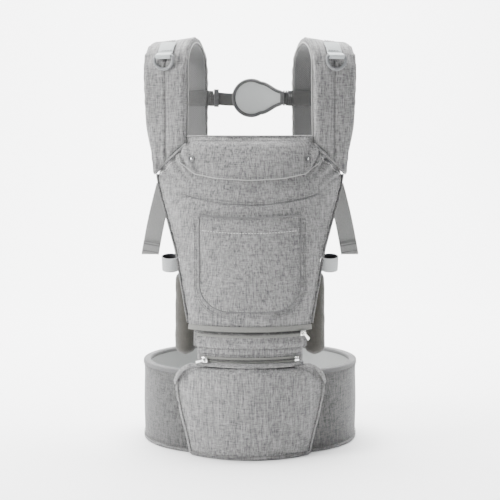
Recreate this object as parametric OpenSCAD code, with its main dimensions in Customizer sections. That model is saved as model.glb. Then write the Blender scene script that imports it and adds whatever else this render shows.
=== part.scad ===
/* [Waist belt] */
// Outer width of the closed belt
belt_w = 352; // [300:1:420]
// Outer depth of the closed belt
belt_d = 250; // [210:1:280]
// Height of the belt
belt_h = 130; // [105:1:150]
// Thickness of the belt's foam pad
belt_t = 10; // [6:0.5:14]
// Thickness of the mesh lining inside the belt
lining_t = 2.5; // [1.5:0.5:4]
// Height of each folded edge binding
binding_h = 4; // [3:0.5:6]
// Gap between the belt's two ends at the back
belt_gap = 8; // [4:1:20]

/* [Hip seat] */
// Plan radius of the seat's front
seat_r = 138; // [130:1:150]
// How far the seat's front centre stands forward of the belt
seat_out = 40; // [30:1:55]
// Half width of the seat at its shoulders
seat_half = 117; // [95:1:120]
// Height of the seat's top cover above the floor
seat_h = 148; // [140:1:170]
// Wall of the seat's fabric pocket
seat_wall = 3; // [2:0.5:5]

/* [Riser and zips] */
// Plan radius of the riser and of both zips
riser_r = 150; // [140:1:165]
// Half width of the riser
riser_half = 82; // [60:1:88]
// Height of the riser between the two zips
riser_h = 48; // [35:1:60]
// Padding thickness of the riser
riser_t = 6; // [4:0.5:9]
// Height of each zip tape
tape_h = 8; // [6:0.5:10]

/* [Front panel] */
// Height of the panel above its zip
panel_h = 298; // [250:1:360]
// Half width of the panel at its shoulder corners
panel_half = 150; // [130:1:155]
// Half width of the panel at its top edge
panel_top_half = 100; // [80:1:110]
// Half width of the panel at its zip
panel_low_half = 95; // [80:1:100]
// Thickness of the panel's padding
panel_t = 12; // [8:0.5:15]
// Half width of the pocket
pocket_half = 75; // [55:1:85]

/* [Shoulder straps] */
// Width of each shoulder strap
strap_w = 72; // [60:1:80]
// Thickness of each shoulder strap
strap_t = 14; // [10:0.5:18]
// Distance between the front and back runs of a strap
strap_loop = 94; // [80:1:110]
// Height of a strap's top above the floor
strap_top = 654; // [620:1:700]
// Sideways distance of a strap's middle from the centre
strap_x = 117; // [110:1:125]
// Turn of each strap about the vertical
strap_turn = 19; // [12:1:24]

/* [Webbing and buckles] */
// Width of the webbing
web_w = 25; // [20:1:30]
// Thickness of the webbing
web_t = 1.6; // [1:0.1:2.4]
// Length of each hanging webbing tail
tail_l = 98; // [70:1:130]
// Height of the back cross strap above the floor
chest_z = 556; // [500:1:580]
// Diameter of the bar of a D-ring
dring_bar = 4; // [3:0.5:5]
// Inward travel of a buckle's prong
prong_travel = 3; // [2:0.25:3.5]

/* [Hidden] */
$fn = 96;
eps = 0.01;
soft_gap = 0.3;                       // clearance between soft pieces that move past each other
belt_r = belt_d / 2;
belt_flat = belt_w - belt_d;          // straight length at the belt's front and back
seat_front = belt_r + seat_out;
flap_t = 3;
buckle_t = 9;
rear_out = belt_r + flap_t + web_t + buckle_t;
y_shift = (seat_front - rear_out) / 2;  // centres the carrier on the footprint of its box
belt_wall = belt_t + lining_t;
// riser
riser_front = seat_front - 10;
riser_y = riser_r - riser_front;      // plan centre of the riser and the zips
zip_z = seat_h + riser_h;             // height of the upper zip's coil
low_zip_up = 5;                       // the lower zip's coil above the seat's cover
low_zip_z = seat_h + low_zip_up;
coil_r = 1.3;
coil_drop = 2.4;                      // the upper coil below the edge of its tape
tape_t = 1.2;
layer_gap = 0.2;                      // clearance between curved layers that are sewn together
// panel: a shell of a cone that leans back
lean = 26;
cone_k = 0.242;                       // growth of the cone's radius along its axis
cone_r0 = riser_r;
cone_low = -90;                       // stretch of the cone's axis that the panel is cut from
cone_high = 420;
panel_z0 = zip_z + 1;
cone_y = -riser_front + cone_r0 * cos(lean);
cone_z = panel_z0 - cone_r0 * sin(lean);
panel_z1 = panel_z0 + panel_h;
corner_z = panel_z1 - 57;             // height of the panel's shoulder corners
seam_z = panel_z1 - 13;               // height where the shoulder seam meets the top edge
// strap
strap_y = -6;
leg_u = strap_loop / 2;
arch_z = strap_top - leg_u - strap_t / 2;
back_end_z = corner_z - 10;
seam_gap = 0.7;
seam_slope = (seam_z - corner_z) / (panel_half - panel_top_half);
// snaps
snap_x = 86;
snap_z = panel_z1 - 38;
snap_r = 5.5;
// side fittings
deep_spare = 1.06;                    // the panel is this much deeper behind than along its normal
lock_w = web_w + 10;
lock_h = 28;
lock_t = 5;
lock_x = panel_half + 2;
lock_gap = 2.1;                       // between the panel's back face and a shoulder buckle
lock_z = corner_z - 38;
lock_y = panel_back(panel_half - 8, lock_z) + lock_t / 2 + lock_gap;
tail_z1 = lock_z + 2;
tail_y = lock_y - lock_t / 2 - web_t / 2 - soft_gap;
hem_l = 20;
// cross strap, measured on the back runs of the straps
band_h = web_w;
band_t = 2;
chest_y = strap_y + leg_u * cos(strap_turn) - 4;
pad_x1 = 48;                          // narrow end of the teardrop pad
pad_r = 29;                           // radius of its round end
pad_x = 2;                            // middle of its round end
pad_t = 5;
// side-release buckles
buckle_w = web_w + 8;
buckle_l = 30;
male_w = web_w + 5;
male_l = 11;
slot_gap = 0.3;                       // between the closed halves
bar_slot = 2.4;                       // webbing slot, along the buckle
web_room = 0.5;                       // beside the webbing in its slot
cavity_t = 6;
window_x = 20;                        // side windows, from the buckle's mouth
window_l = 10;
spine_t = 4.8;
spine_half = 2;
prong_l = 19.5;
prong_h = 3;
prong_head_l = 9;
prong_head_h = 9.4;
prong_z = spine_half + prong_travel + 1;

function cone_r(zp) = cone_r0 + cone_k * zp;
// position along the cone's axis of the surface point at sideways x and height z
function axial(x, z, n = 7) = let(q = n == 0 ? z - panel_z0 : axial(x, z, n - 1))
  (z - cone_z - sin(lean) * sqrt(pow(cone_r(q), 2) - x * x)) / cos(lean);
function panel_y(x, z) = let(q = axial(x, z))
  cone_y - cos(lean) * sqrt(pow(cone_r(q), 2) - x * x) + sin(lean) * q;
function bezier(p, t) = pow(1 - t, 3) * p[0] + 3 * pow(1 - t, 2) * t * p[1]
  + 3 * (1 - t) * t * t * p[2] + t * t * t * p[3];
function mirror_x(pts) = [for (i = [len(pts) - 1:-1:0]) [-pts[i][0], pts[i][1]]];

module centred() translate([0, y_shift, 0]) children();
module both() for (s = [0, 1]) mirror([s, 0, 0]) children();

// ---------- waist belt ----------
module stadium(r) {
  for (s = [-1, 1]) translate([s * belt_flat / 2, 0]) circle(r = r);
  square([belt_flat, 2 * r], center = true);
}
module belt_ring(outer, inner, z0, h) difference() {
  translate([0, 0, z0]) linear_extrude(h) difference() {
    stadium(outer);
    stadium(inner);
  }
  translate([-belt_gap / 2, 0, z0 - 1]) cube([belt_gap, belt_d, h + 2]);
}
module belt_pad() color([0.62, 0.62, 0.61]) centred()
  belt_ring(belt_r, belt_r - belt_t, binding_h, belt_h - 2 * binding_h);
module belt_lining() color([0.75, 0.76, 0.75]) centred()
  belt_ring(belt_r - belt_t, belt_r - belt_wall, binding_h, belt_h - 2 * binding_h);
module belt_binding_top() color([0.46, 0.46, 0.46]) centred()
  belt_ring(belt_r, belt_r - belt_wall, belt_h - binding_h, binding_h);
module belt_binding_bottom() color([0.46, 0.46, 0.46]) centred()
  belt_ring(belt_r, belt_r - belt_wall, 0, binding_h);

// ---------- hip seat ----------
seat_narrow = 24;                     // how much narrower the seat is at the floor
seat_waist_z = 60;
function seat_edge(inset) = [[seat_half - seat_narrow - inset, inset],
  [seat_half - seat_narrow / 3 - inset, seat_waist_z], [seat_half - inset, seat_h * 0.72],
  [seat_half - 5 - inset, seat_h * 0.86], [riser_half + 6 - inset, seat_h - 4 - inset]];
module seat_outline(inset) symmetric(seat_edge(inset));
module seat_block(inset) intersection() {
  difference() {
    translate([0, seat_r - seat_front, 0]) cylinder(r = seat_r - inset, h = seat_h, $fn = 128);
    translate([0, 0, -1]) linear_extrude(seat_h + 2) stadium(belt_r + soft_gap + inset);
  }
  rotate([90, 0, 0]) linear_extrude(seat_front + 10) seat_outline(inset);
}
module seat_pocket() color([0.62, 0.62, 0.61]) centred() difference() {
  seat_block(0);
  seat_block(seat_wall);
}
module seat_foam() color([0.85, 0.85, 0.82]) centred() seat_block(seat_wall + soft_gap);
module seat_top() color([0.35, 0.35, 0.36]) centred() difference() {
  intersection() {
    translate([0, seat_r - seat_front, seat_h - 4]) cylinder(r = seat_r - 4, h = 4, $fn = 128);
    translate([-riser_half - 2, -seat_front, seat_h - 4])
      cube([2 * riser_half + 4, seat_front - belt_r + 26, 4]);
  }
  translate([0, 0, seat_h - 5]) linear_extrude(6) stadium(belt_r + soft_gap);
}
// the slanting edge that closes the seat's side pocket
module seat_flap() color([0.55, 0.55, 0.54]) centred() intersection() {
  difference() {
    translate([0, seat_r - seat_front, 0]) cylinder(r = seat_r + 1.5, h = seat_h, $fn = 128);
    translate([0, seat_r - seat_front, -1]) cylinder(r = seat_r + layer_gap, h = seat_h + 2, $fn = 128);
    translate([0, 0, -1]) linear_extrude(seat_h + 2) stadium(belt_r + soft_gap);
  }
  rotate([90, 0, 0]) linear_extrude(seat_front + 10)
    both() polygon([[riser_half - 6, seat_h - 4], [riser_half + 6, seat_h - 4],
      [seat_half - 5, seat_h * 0.86], [seat_half, seat_h * 0.72], [seat_half - 9, seat_h * 0.76],
      [seat_half - 22, seat_h * 0.89]]);
}

// ---------- rear closure ----------
module rear_plate(x0, x1, z0, h, y0, t) translate([x0, y0, z0]) cube([x1 - x0, t, h]);
module closure_hook() color([0.3, 0.3, 0.31]) centred()
  rear_plate(belt_gap / 2 + 2, belt_flat / 2 - 2, 20, belt_h - 40, belt_r, 1);
module closure_flap() color([0.5, 0.5, 0.5]) centred() union() {
  rear_plate(-belt_flat / 2 + 4, belt_flat / 2 - 4, 16, belt_h - 32, belt_r + 1, flap_t - 1);
  rear_plate(-belt_flat / 2 + 4, -belt_flat / 2 + 20, 16, belt_h - 32, belt_r, 1 + eps);
}
// a side-release buckle: x is the way the male half leaves, z is along the webbing's width
module buckle_female() difference() {
  translate([-buckle_l, -buckle_t / 2, -buckle_w / 2]) cube([buckle_l, buckle_t, buckle_w]);
  translate([6 - buckle_l, -cavity_t / 2, -web_w / 2]) cube([buckle_l, cavity_t, web_w]);
  translate([-window_x, -cavity_t / 2, -buckle_w]) cube([window_l, cavity_t, 2 * buckle_w]);
  translate([2 - buckle_l, -buckle_t, -web_w / 2 - web_room])
    cube([bar_slot, 2 * buckle_t, web_w + 2 * web_room]);
}
module buckle_male() {
  difference() {
    translate([slot_gap, -buckle_t / 2, -male_w / 2]) cube([male_l, buckle_t, male_w]);
    translate([male_l - 4, -buckle_t, -web_w / 2 - web_room])
      cube([bar_slot, 2 * buckle_t, web_w + 2 * web_room]);
  }
  translate([-window_x, -spine_t / 2, -spine_half]) cube([window_x + slot_gap, spine_t, 2 * spine_half]);
}
module buckle_prong() {
  translate([-prong_l, -spine_t / 2, prong_z]) cube([prong_l + slot_gap, spine_t, prong_h]);
  translate([-prong_l, -spine_t / 2, prong_z]) cube([prong_head_l, spine_t, prong_head_h]);
}
waist_buckle_z = belt_h / 2;
waist_buckle_y = belt_r + flap_t + web_t + buckle_t / 2;
waist_buckle_x = 14;
module at_waist() centred() translate([waist_buckle_x, waist_buckle_y, waist_buckle_z]) children();
module waist_female() color([0.25, 0.25, 0.26]) at_waist() buckle_female();
module waist_male() color([0.25, 0.25, 0.26]) at_waist() buckle_male();
module waist_prong_upper() color([0.25, 0.25, 0.26]) at_waist() buckle_prong();
module waist_prong_lower() color([0.25, 0.25, 0.26]) at_waist() mirror([0, 0, 1]) buckle_prong();
module waist_webbing() color([0.45, 0.45, 0.45]) centred()
  for (s = [-1, 1]) translate([0, 0, waist_buckle_z - web_w / 2]) union() {
    x_in = waist_buckle_x + (s < 0 ? 3 - buckle_l : male_l - 2.6);
    x_end = s * belt_flat / 2;
    translate([min(x_in, x_end), belt_r + flap_t, 0]) cube([abs(x_end - x_in), web_t, web_w]);
    translate([s < 0 ? x_in - 0.4 : x_in - 1.2, belt_r + flap_t, 0])
      cube([web_t, web_t + buckle_t, web_w]);
    mirror([s < 0 ? 0 : 1, 0, 0]) translate([-belt_flat / 2, 0, 0]) rotate([0, 0, 90])
      rotate_extrude(angle = 50) translate([belt_r + flap_t, 0]) square([web_t, web_w]);
  }

// ---------- riser and zips ----------
module arc_shell(r, t, z0, h, half) intersection() {
  translate([0, riser_y, z0]) difference() {
    cylinder(r = r + t, h = h, $fn = 160);
    translate([0, 0, -1]) cylinder(r = r, h = h + 2, $fn = 160);
  }
  translate([-half, riser_y - r - t - 1, z0 - 1]) cube([2 * half, r, h + 2]);
}
module zip_coil(z, half) intersection() {
  translate([0, riser_y, z]) rotate_extrude($fn = 160)
    translate([riser_r + tape_t + coil_r + 2 * layer_gap, 0]) circle(r = coil_r, $fn = 24);
  translate([-half, riser_y - riser_r - 6, z - 3]) cube([2 * half, riser_r, 6]);
}
module riser() color([0.63, 0.63, 0.62]) centred()
  arc_shell(riser_r - riser_t, riser_t, seat_h, riser_h + 2 * layer_gap, riser_half);
module lower_zip_tape() color([0.66, 0.66, 0.63]) centred()
  arc_shell(riser_r + layer_gap, tape_t, seat_h, 2 * low_zip_up, riser_half - 6);
module lower_zip_coil() color([0.55, 0.55, 0.53]) centred() zip_coil(low_zip_z, riser_half - 12);
module upper_zip_tape_low() color([0.66, 0.66, 0.63]) centred()
  arc_shell(riser_r + layer_gap, tape_t, zip_z - tape_h, tape_h - 1, riser_half);
module upper_zip_coil() color([0.55, 0.55, 0.53]) centred() zip_coil(zip_z - coil_drop, riser_half - 2);
module upper_zip_tape_high() color([0.66, 0.66, 0.63])
  panel_layer(layer_gap, layer_gap + tape_t) symmetric([
    [panel_low_half - 1, panel_z0], [panel_low_half, panel_z0 + tape_h]]);
zip_front = riser_r + tape_t + 2 * coil_r + 2 * layer_gap + soft_gap;
slider_l = 9;
slider_w = 8;
pivot_out = 4.6;                      // from a slider's back to its pull's pin
pin_r = 0.7;
// turns a slider's bridge and its pull together, about the slider's middle
module hung(lean_out) rotate([0, lean_out, 0]) children();
module zip_slider(lean_out) {
  translate([-slider_l / 2, -2, -slider_w / 2]) cube([slider_l, 2, slider_w]);
  hung(lean_out) {
    for (s = [-1, 1]) translate([s * 2.6 - 0.6, -5.4, -1.2]) cube([1.2, 3.5, 2.4]);
    translate([-3.2, -pivot_out, 0]) rotate([0, 90, 0]) cylinder(r = pin_r, h = 6.4);
  }
}
pull_l = 14;
pull_w = 3.8;
module zip_pull(lean_out) hung(lean_out) difference() {
  union() {
    translate([-pull_w / 2, -pivot_out - 1.2, -pull_l]) cube([pull_w, 1.4, pull_l]);
    translate([-pull_w / 2, -pivot_out, 0]) rotate([0, 90, 0]) cylinder(r = pull_w / 2, h = pull_w);
  }
  translate([-3, -pivot_out, 0]) rotate([0, 90, 0]) cylinder(r = pin_r + 0.06, h = 6);
}
upper_angle = 31.5;
lower_angle = -26.5;
// how far each pull lies from hanging straight down
upper_hang = -35;
lower_hang = 72;
module on_zip(angle, z) centred() translate([0, riser_y, z]) rotate([0, 0, angle])
  translate([0, -zip_front, 0]) children();
module upper_zip_slider() color([0.78, 0.78, 0.77]) on_zip(upper_angle, zip_z - coil_drop)
  zip_slider(upper_hang);
module upper_zip_pull() color([0.82, 0.82, 0.81]) on_zip(upper_angle, zip_z - coil_drop)
  zip_pull(upper_hang);
module lower_zip_slider() color([0.78, 0.78, 0.77]) on_zip(lower_angle, low_zip_z)
  zip_slider(lower_hang);
module lower_zip_pull() color([0.82, 0.82, 0.81]) on_zip(lower_angle, low_zip_z)
  zip_pull(lower_hang);

// ---------- front panel ----------
module on_cone() centred() translate([0, cone_y, cone_z]) rotate([-lean, 0, 0]) children();
module cone_shell(r_in, r_out) rotate_extrude($fn = 180) polygon([
  [cone_r(cone_low) + r_in, cone_low], [cone_r(cone_low) + r_out, cone_low],
  [cone_r(cone_high) + r_out, cone_high], [cone_r(cone_high) + r_in, cone_high]]);
// the front of a shell on the cone, cut to an outline seen from the front
module panel_layer(r_in, r_out) intersection() {
  on_cone() cone_shell(r_in, r_out);
  centred() translate([0, 40, 0]) rotate([90, 0, 0]) linear_extrude(260) children();
}
module symmetric(pts) polygon(concat(pts, mirror_x(pts)));
module panel_outline(inset = 0) symmetric([
  [panel_low_half - inset, panel_z0 + inset], [panel_low_half + 14 - inset, panel_z0 + 75],
  [panel_half - 32 - inset, panel_z0 + 122], [panel_half - 6 - inset, corner_z - 32],
  [panel_half - inset * 1.2, corner_z - inset * 0.4], [panel_top_half - inset * 0.5, seam_z - inset * 1.2],
  [panel_top_half - 2 - inset, panel_z1 - inset]]);
module panel_pad() color([0.62, 0.62, 0.61]) panel_layer(-panel_t + 2, 0) panel_outline();
module panel_lining() color([0.7, 0.7, 0.69])
  panel_layer(-panel_t, -panel_t + 2 - layer_gap) panel_outline(2);
// folded binding along the top edge and down both sides
module panel_binding() color([0.5, 0.5, 0.5]) union() {
  panel_layer(layer_gap, 1) symmetric([
    [panel_top_half - 3, panel_z1 - 7], [panel_top_half - 3, panel_z1]]);
  panel_layer(layer_gap, 1) both() polygon([
    [panel_low_half - 4, panel_z0 + 12], [panel_low_half + 0.5, panel_z0 + 12],
    [panel_low_half + 14, panel_z0 + 75], [panel_half - 32, panel_z0 + 122],
    [panel_half - 6, corner_z - 32], [panel_half - 10, corner_z - 32],
    [panel_half - 36, panel_z0 + 122], [panel_low_half + 10, panel_z0 + 75]]);
}
pocket_z1 = panel_z1 - 124;
pocket_z0 = panel_z0 + 30;
module panel_pocket() color([0.6, 0.6, 0.59]) panel_layer(layer_gap, 2) symmetric(concat(
  [for (a = [-90:15:0]) [pocket_half * (0.42 + 0.58 * cos(a)), pocket_z0 + 40 + 40 * sin(a)]],
  [[pocket_half, pocket_z1]]));
bolster_r = 13;
bolster_l = 102;
bolster_sink = 0.62;                  // share of its radius between a bolster's axis and the panel
bolster_x = panel_low_half + 6;
bolster_z = panel_z0 - 40 + bolster_r;
// distance from the panel's front face to its back face along y, where it curves round the side
function panel_deep(x, z) = panel_t * cone_r(axial(x, z)) / sqrt(pow(cone_r(axial(x, z)), 2) - x * x);
function panel_back(x, z) = panel_y(x, z) + panel_deep(x, z) * deep_spare;
module side_bolsters() color([0.5, 0.49, 0.47]) centred() both() {
  low = panel_back(bolster_x, panel_z0 + 4) + bolster_r * bolster_sink;
  high = panel_back(bolster_x + 6, bolster_z + bolster_l) + bolster_r * bolster_sink;
  translate([bolster_x, low, bolster_z])
    rotate([-atan((high - low) / (bolster_z + bolster_l - panel_z0)), 0, 0]) {
      cylinder(r = bolster_r, h = bolster_l);
      sphere(r = bolster_r);
      translate([0, 0, bolster_l]) sphere(r = bolster_r);
    }
}
loop_r = 9;
loop_h = web_w - 2;
loop_z = panel_z0 + 87;
// half width of the panel at the loops, between the second and third points of its outline
loop_edge = panel_low_half + 14
  + (loop_z + loop_h - panel_z0 - 75) * (panel_half - 46 - panel_low_half) / 47;
module side_loops() color([0.75, 0.75, 0.75]) centred() both()
  translate([loop_edge + loop_r + 0.4, panel_y(loop_edge, loop_z + loop_h) + panel_t * 0.6, loop_z])
    linear_extrude(loop_h) difference() {
      circle(r = loop_r);
      circle(r = loop_r - web_t);
    }

// ---------- shoulder buckles ----------
module ladder_locks() color([0.35, 0.35, 0.36]) centred() both()
  translate([lock_x, lock_y, lock_z]) difference() {
    translate([-lock_w / 2, -lock_t / 2, -lock_h / 2]) cube([lock_w, lock_t, lock_h]);
    for (z = [-7, 1, 8]) translate([-web_w / 2 - 0.5, -lock_t, z]) cube([web_w + 1, 2 * lock_t, 3]);
  }
module lock_anchors() color([0.5, 0.5, 0.5]) centred() both()
  translate([lock_x - web_w / 2, lock_y + lock_t / 2 + 0.1, lock_z - lock_h / 2 - 12])
    cube([web_w, web_t, 22]);
// a flat webbing swept through a list of middles, its width along x
module webbing_run(path, turns) {
  n = len(path);
  corner = [[-1, -1], [1, -1], [1, 1], [-1, 1]];
  pts = [for (i = [0:n - 1]) let(
      a = path[max(i - 1, 0)], b = path[min(i + 1, n - 1)], d = (b - a) / norm(b - a),
      w = [cos(turns[i]), sin(turns[i]), 0], m = cross(w, d))
    for (c = corner) path[i] + w * c[0] * web_w / 2 + m * c[1] * web_t / 2];
  sides = [for (i = [0:n - 2], k = [0:3], half = [0, 1]) let(a = 4 * i + k, b = 4 * i + (k + 1) % 4)
    half == 0 ? [a, b, b + 4] : [a, b + 4, a + 4]];
  e = 4 * n - 4;
  polyhedron(pts, concat([[3, 2, 1], [3, 1, 0]], sides, [[e, e + 1, e + 2], [e, e + 2, e + 3]]));
}
back_x = strap_x - leg_u * sin(strap_turn);
back_y = strap_y + leg_u * cos(strap_turn);
module lower_webbing() {
  top = [back_x, back_y, back_end_z - 0.4];
  low = [lock_x, lock_y + lock_t / 2 + 3, lock_z + 11];
  webbing_run(
    [for (t = [0:0.1:1]) bezier([top, top - [0, 0, 34], low + [-6, 26, -20], low], t)],
    [for (t = [0:0.1:1]) strap_turn * (1 - t)]);
}
module lower_webbing_left() color([0.5, 0.5, 0.5]) centred() mirror([1, 0, 0]) lower_webbing();
module lower_webbing_right() color([0.5, 0.5, 0.5]) centred() lower_webbing();
module tail() translate([lock_x - web_w / 2, tail_y - web_t / 2, tail_z1 - tail_l]) {
  cube([web_w, web_t, tail_l]);
  translate([0, -web_t, 0]) cube([web_w, web_t, hem_l]);
}
module tail_left() color([0.58, 0.58, 0.57]) centred() mirror([1, 0, 0]) tail();
module tail_right() color([0.58, 0.58, 0.57]) centred() tail();

// ---------- head support flap and snaps ----------
flap_gap = 1.5;
module head_flap() color([0.6, 0.6, 0.59])
  panel_layer(flap_gap, flap_gap + 3) symmetric([
    [0, panel_z1 - 70], [50, panel_z1 - 67], [84, panel_z1 - 60], [105, panel_z1 - 44],
    [112, panel_z1 - 27], [panel_top_half - 1, seam_z - 1], [panel_top_half - 4, panel_z1 - 1]]);
module snap(x, r_off, h, r) {
  zp = axial(x, snap_z);
  on_cone() rotate([0, 0, asin(x / cone_r(zp))])
    translate([0, -cone_r(zp), zp]) rotate([90 + atan(cone_k), 0, 0]) translate([0, 0, r_off])
      cylinder(r = r, h = h, $fn = 48);
}
module snap_studs() color([0.55, 0.55, 0.54]) for (s = [-1, 1]) snap(s * snap_x, layer_gap, 1, snap_r - 1);
module snap_caps() color([0.7, 0.7, 0.69]) for (s = [-1, 1])
  snap(s * snap_x, flap_gap + 3 + layer_gap, 1.6, snap_r);

// ---------- shoulder straps ----------
module strap_profile(t0, t1) {
  translate([0, arch_z]) intersection() {
    difference() {
      circle(r = leg_u + t1);
      circle(r = leg_u + t0);
    }
    translate([-leg_u - strap_t, 0]) square([2 * (leg_u + strap_t), leg_u + strap_t]);
  }
  translate([-leg_u - t1, corner_z - 12]) square([t1 - t0, arch_z - corner_z + 12]);
  translate([leg_u + t0, back_end_z]) square([t1 - t0, arch_z - back_end_z]);
}
module on_strap() centred() translate([strap_x, strap_y, 0]) rotate([0, 0, strap_turn]) children();
// the part of a strap that lies outside the shoulder seam
module strap_layer(t0, t1, w) difference() {
  on_strap() translate([-w / 2, 0, 0]) rotate([90, 0, 90]) linear_extrude(w) strap_profile(t0, t1);
  centred() translate([0, -20, 0]) rotate([90, 0, 0]) linear_extrude(120) polygon([
    [0, corner_z - 60], [panel_half + 60, corner_z - 60],
    [panel_half + 60, corner_z + seam_gap - 60 * seam_slope],
    [panel_top_half + 1, seam_z + seam_gap], [panel_top_half, panel_z1 + seam_gap],
    [0, panel_z1 + seam_gap]]);
}
module strap_right() color([0.62, 0.62, 0.61])
  strap_layer(-strap_t / 2 + 2, strap_t / 2, strap_w);
module strap_left() color([0.62, 0.62, 0.61]) mirror([1, 0, 0])
  strap_layer(-strap_t / 2 + 2, strap_t / 2, strap_w);
module strap_lining_right() color([0.55, 0.55, 0.54])
  strap_layer(-strap_t / 2, -strap_t / 2 + 2, strap_w - 4);
module strap_lining_left() color([0.55, 0.55, 0.54]) mirror([1, 0, 0])
  strap_layer(-strap_t / 2, -strap_t / 2 + 2, strap_w - 4);
// D-rings hang on the front runs
ring_w = web_w + 9;
ring_side = 8;
ring_z = arch_z + 20;
bar_r = dring_bar / 2;
loop_in = bar_r + 0.3;
loop_out = loop_in + web_t;
ring_u = leg_u + strap_t / 2 + bar_r + 0.6;
module d_ring() on_strap() translate([0, -ring_u, ring_z]) {
  m = ring_w / 2 - bar_r;
  translate([-m, 0, 0]) rotate([0, 90, 0]) cylinder(r = bar_r, h = 2 * m, $fn = 32);
  for (s = [-1, 1]) {
    translate([s * m, 0, 0]) sphere(r = bar_r, $fn = 32);
    translate([s * m, 0, -ring_side]) cylinder(r = bar_r, h = ring_side, $fn = 32);
  }
  translate([0, 0, -ring_side]) rotate([90, 0, 0]) rotate([0, 0, 180])
    rotate_extrude(angle = 180, $fn = 64) translate([m, 0]) circle(r = bar_r, $fn = 32);
}
module d_ring_right() color([0.6, 0.61, 0.61]) d_ring();
module d_ring_left() color([0.6, 0.61, 0.61]) mirror([1, 0, 0]) d_ring();
module ring_tab() on_strap() difference() {
  translate([-web_w / 2, -ring_u, ring_z]) rotate([0, 90, 0]) difference() {
    cylinder(r = loop_out, h = web_w, $fn = 48);
    translate([0, 0, -1]) cylinder(r = loop_in, h = web_w + 2, $fn = 48);
  }
  translate([-strap_w / 2, 0, 0]) rotate([90, 0, 90]) linear_extrude(strap_w)
    translate([0, arch_z]) circle(r = leg_u + strap_t / 2 + layer_gap);
}
module ring_strip() on_strap() intersection() {
  translate([-web_w / 2, 0, 0]) rotate([90, 0, 90]) linear_extrude(web_w) difference() {
    translate([0, arch_z]) circle(r = leg_u + strap_t / 2 + layer_gap + web_t);
    translate([0, arch_z]) circle(r = leg_u + strap_t / 2 + layer_gap);
  }
  translate([-strap_w / 2, -leg_u - strap_t, ring_z + 0.5]) cube([strap_w, leg_u + strap_t - 16, 60]);
}
module ring_tabs() color([0.8, 0.82, 0.82]) both() union() {
  ring_tab();
  ring_strip();
}

// ---------- back cross strap ----------
sleeve_gap = 0.4;
module band_sleeve() on_strap() translate([0, leg_u, chest_z - band_h / 2]) linear_extrude(band_h)
  difference() {
    square([strap_w + 2 * (sleeve_gap + band_t), strap_t + 2 * (sleeve_gap + band_t)], center = true);
    square([strap_w + 2 * sleeve_gap, strap_t + 2 * sleeve_gap], center = true);
  }
sleeve_in_x = back_x - (strap_w / 2 + sleeve_gap + band_t) * cos(strap_turn)
  + (strap_t / 2 + sleeve_gap) * sin(strap_turn);
sleeve_in_y = back_y - (strap_w / 2) * sin(strap_turn) - (strap_t / 2 + sleeve_gap) * cos(strap_turn);
module chest_bands() color([0.45, 0.45, 0.45]) {
  both() band_sleeve();
  for (s = [-1, 1]) centred() translate([0, chest_line_y, chest_z - band_h / 2]) {
    x0 = s * (sleeve_in_x + 3);
    x1 = s < 0 ? glide_x - glide_l / 2 : pad_x1 + band_join;
    translate([min(x0, x1), -band_t / 2, 0]) cube([abs(x1 - x0), band_t, band_h]);
  }
}
chest_line_y = sleeve_in_y - 1;
glide_x = -55;                        // middle of the glide on the left band
female_x = 28;                        // mouth of the chest buckle
glide_l = 8;
band_join = 17;                       // how far the right band starts beyond the pad
module at_chest(x) centred() translate([x, chest_line_y, chest_z]) children();
module chest_glide() color([0.2, 0.2, 0.2]) at_chest(glide_x) difference() {
  cube([glide_l, 6, web_w + 4], center = true);
  cube([2 * glide_l, bar_slot, web_w + 2 * soft_gap], center = true);
}
module chest_webbing() color([0.45, 0.45, 0.45]) {
  at_chest(0) translate([glide_x - glide_l / 2, -web_t / 2, -web_w / 2 + 2])
    cube([glide_l / 2 - glide_x + female_x - buckle_l + 4, web_t, web_w - 4]);
  at_chest(0) translate([female_x + male_l - 2.5, -web_t / 2, -web_w / 2 + 2])
    cube([pad_x1 + band_join - female_x - male_l + 2.5, web_t, web_w - 4]);
}
module chest_female() color([0.25, 0.25, 0.26]) at_chest(female_x) chest_buckle_slot() buckle_female();
module chest_male() color([0.25, 0.25, 0.26]) at_chest(female_x) chest_buckle_slot() buckle_male();
module chest_prong_upper() color([0.25, 0.25, 0.26]) at_chest(female_x) buckle_prong();
module chest_prong_lower() color([0.25, 0.25, 0.26]) at_chest(female_x) mirror([0, 0, 1]) buckle_prong();
// room for the webbing where it enters either half
module chest_buckle_slot() difference() {
  children();
  translate([-buckle_l - 1, -1, -web_w / 2 + 1.8]) cube([6, 2, web_w - 3.6]);
  translate([8.2, -1, -web_w / 2 + 1.8]) cube([8, 2, web_w - 3.6]);
}
// the teardrop pad lies in front of the buckle
module chest_pad() color([0.78, 0.79, 0.79]) at_chest(0) translate([0, -buckle_t / 2 - 0.2, 0])
  rotate([90, 0, 0]) linear_extrude(pad_t) union() {
    translate([pad_x, 0]) circle(r = pad_r);
    polygon([[pad_x + pad_r * cos(60), pad_r * sin(60)], [pad_x1 + 4, 10], [pad_x1 + 4, -10],
      [pad_x + pad_r * cos(60), -pad_r * sin(60)], [pad_x, -20], [pad_x, 20]]);
  }

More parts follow.
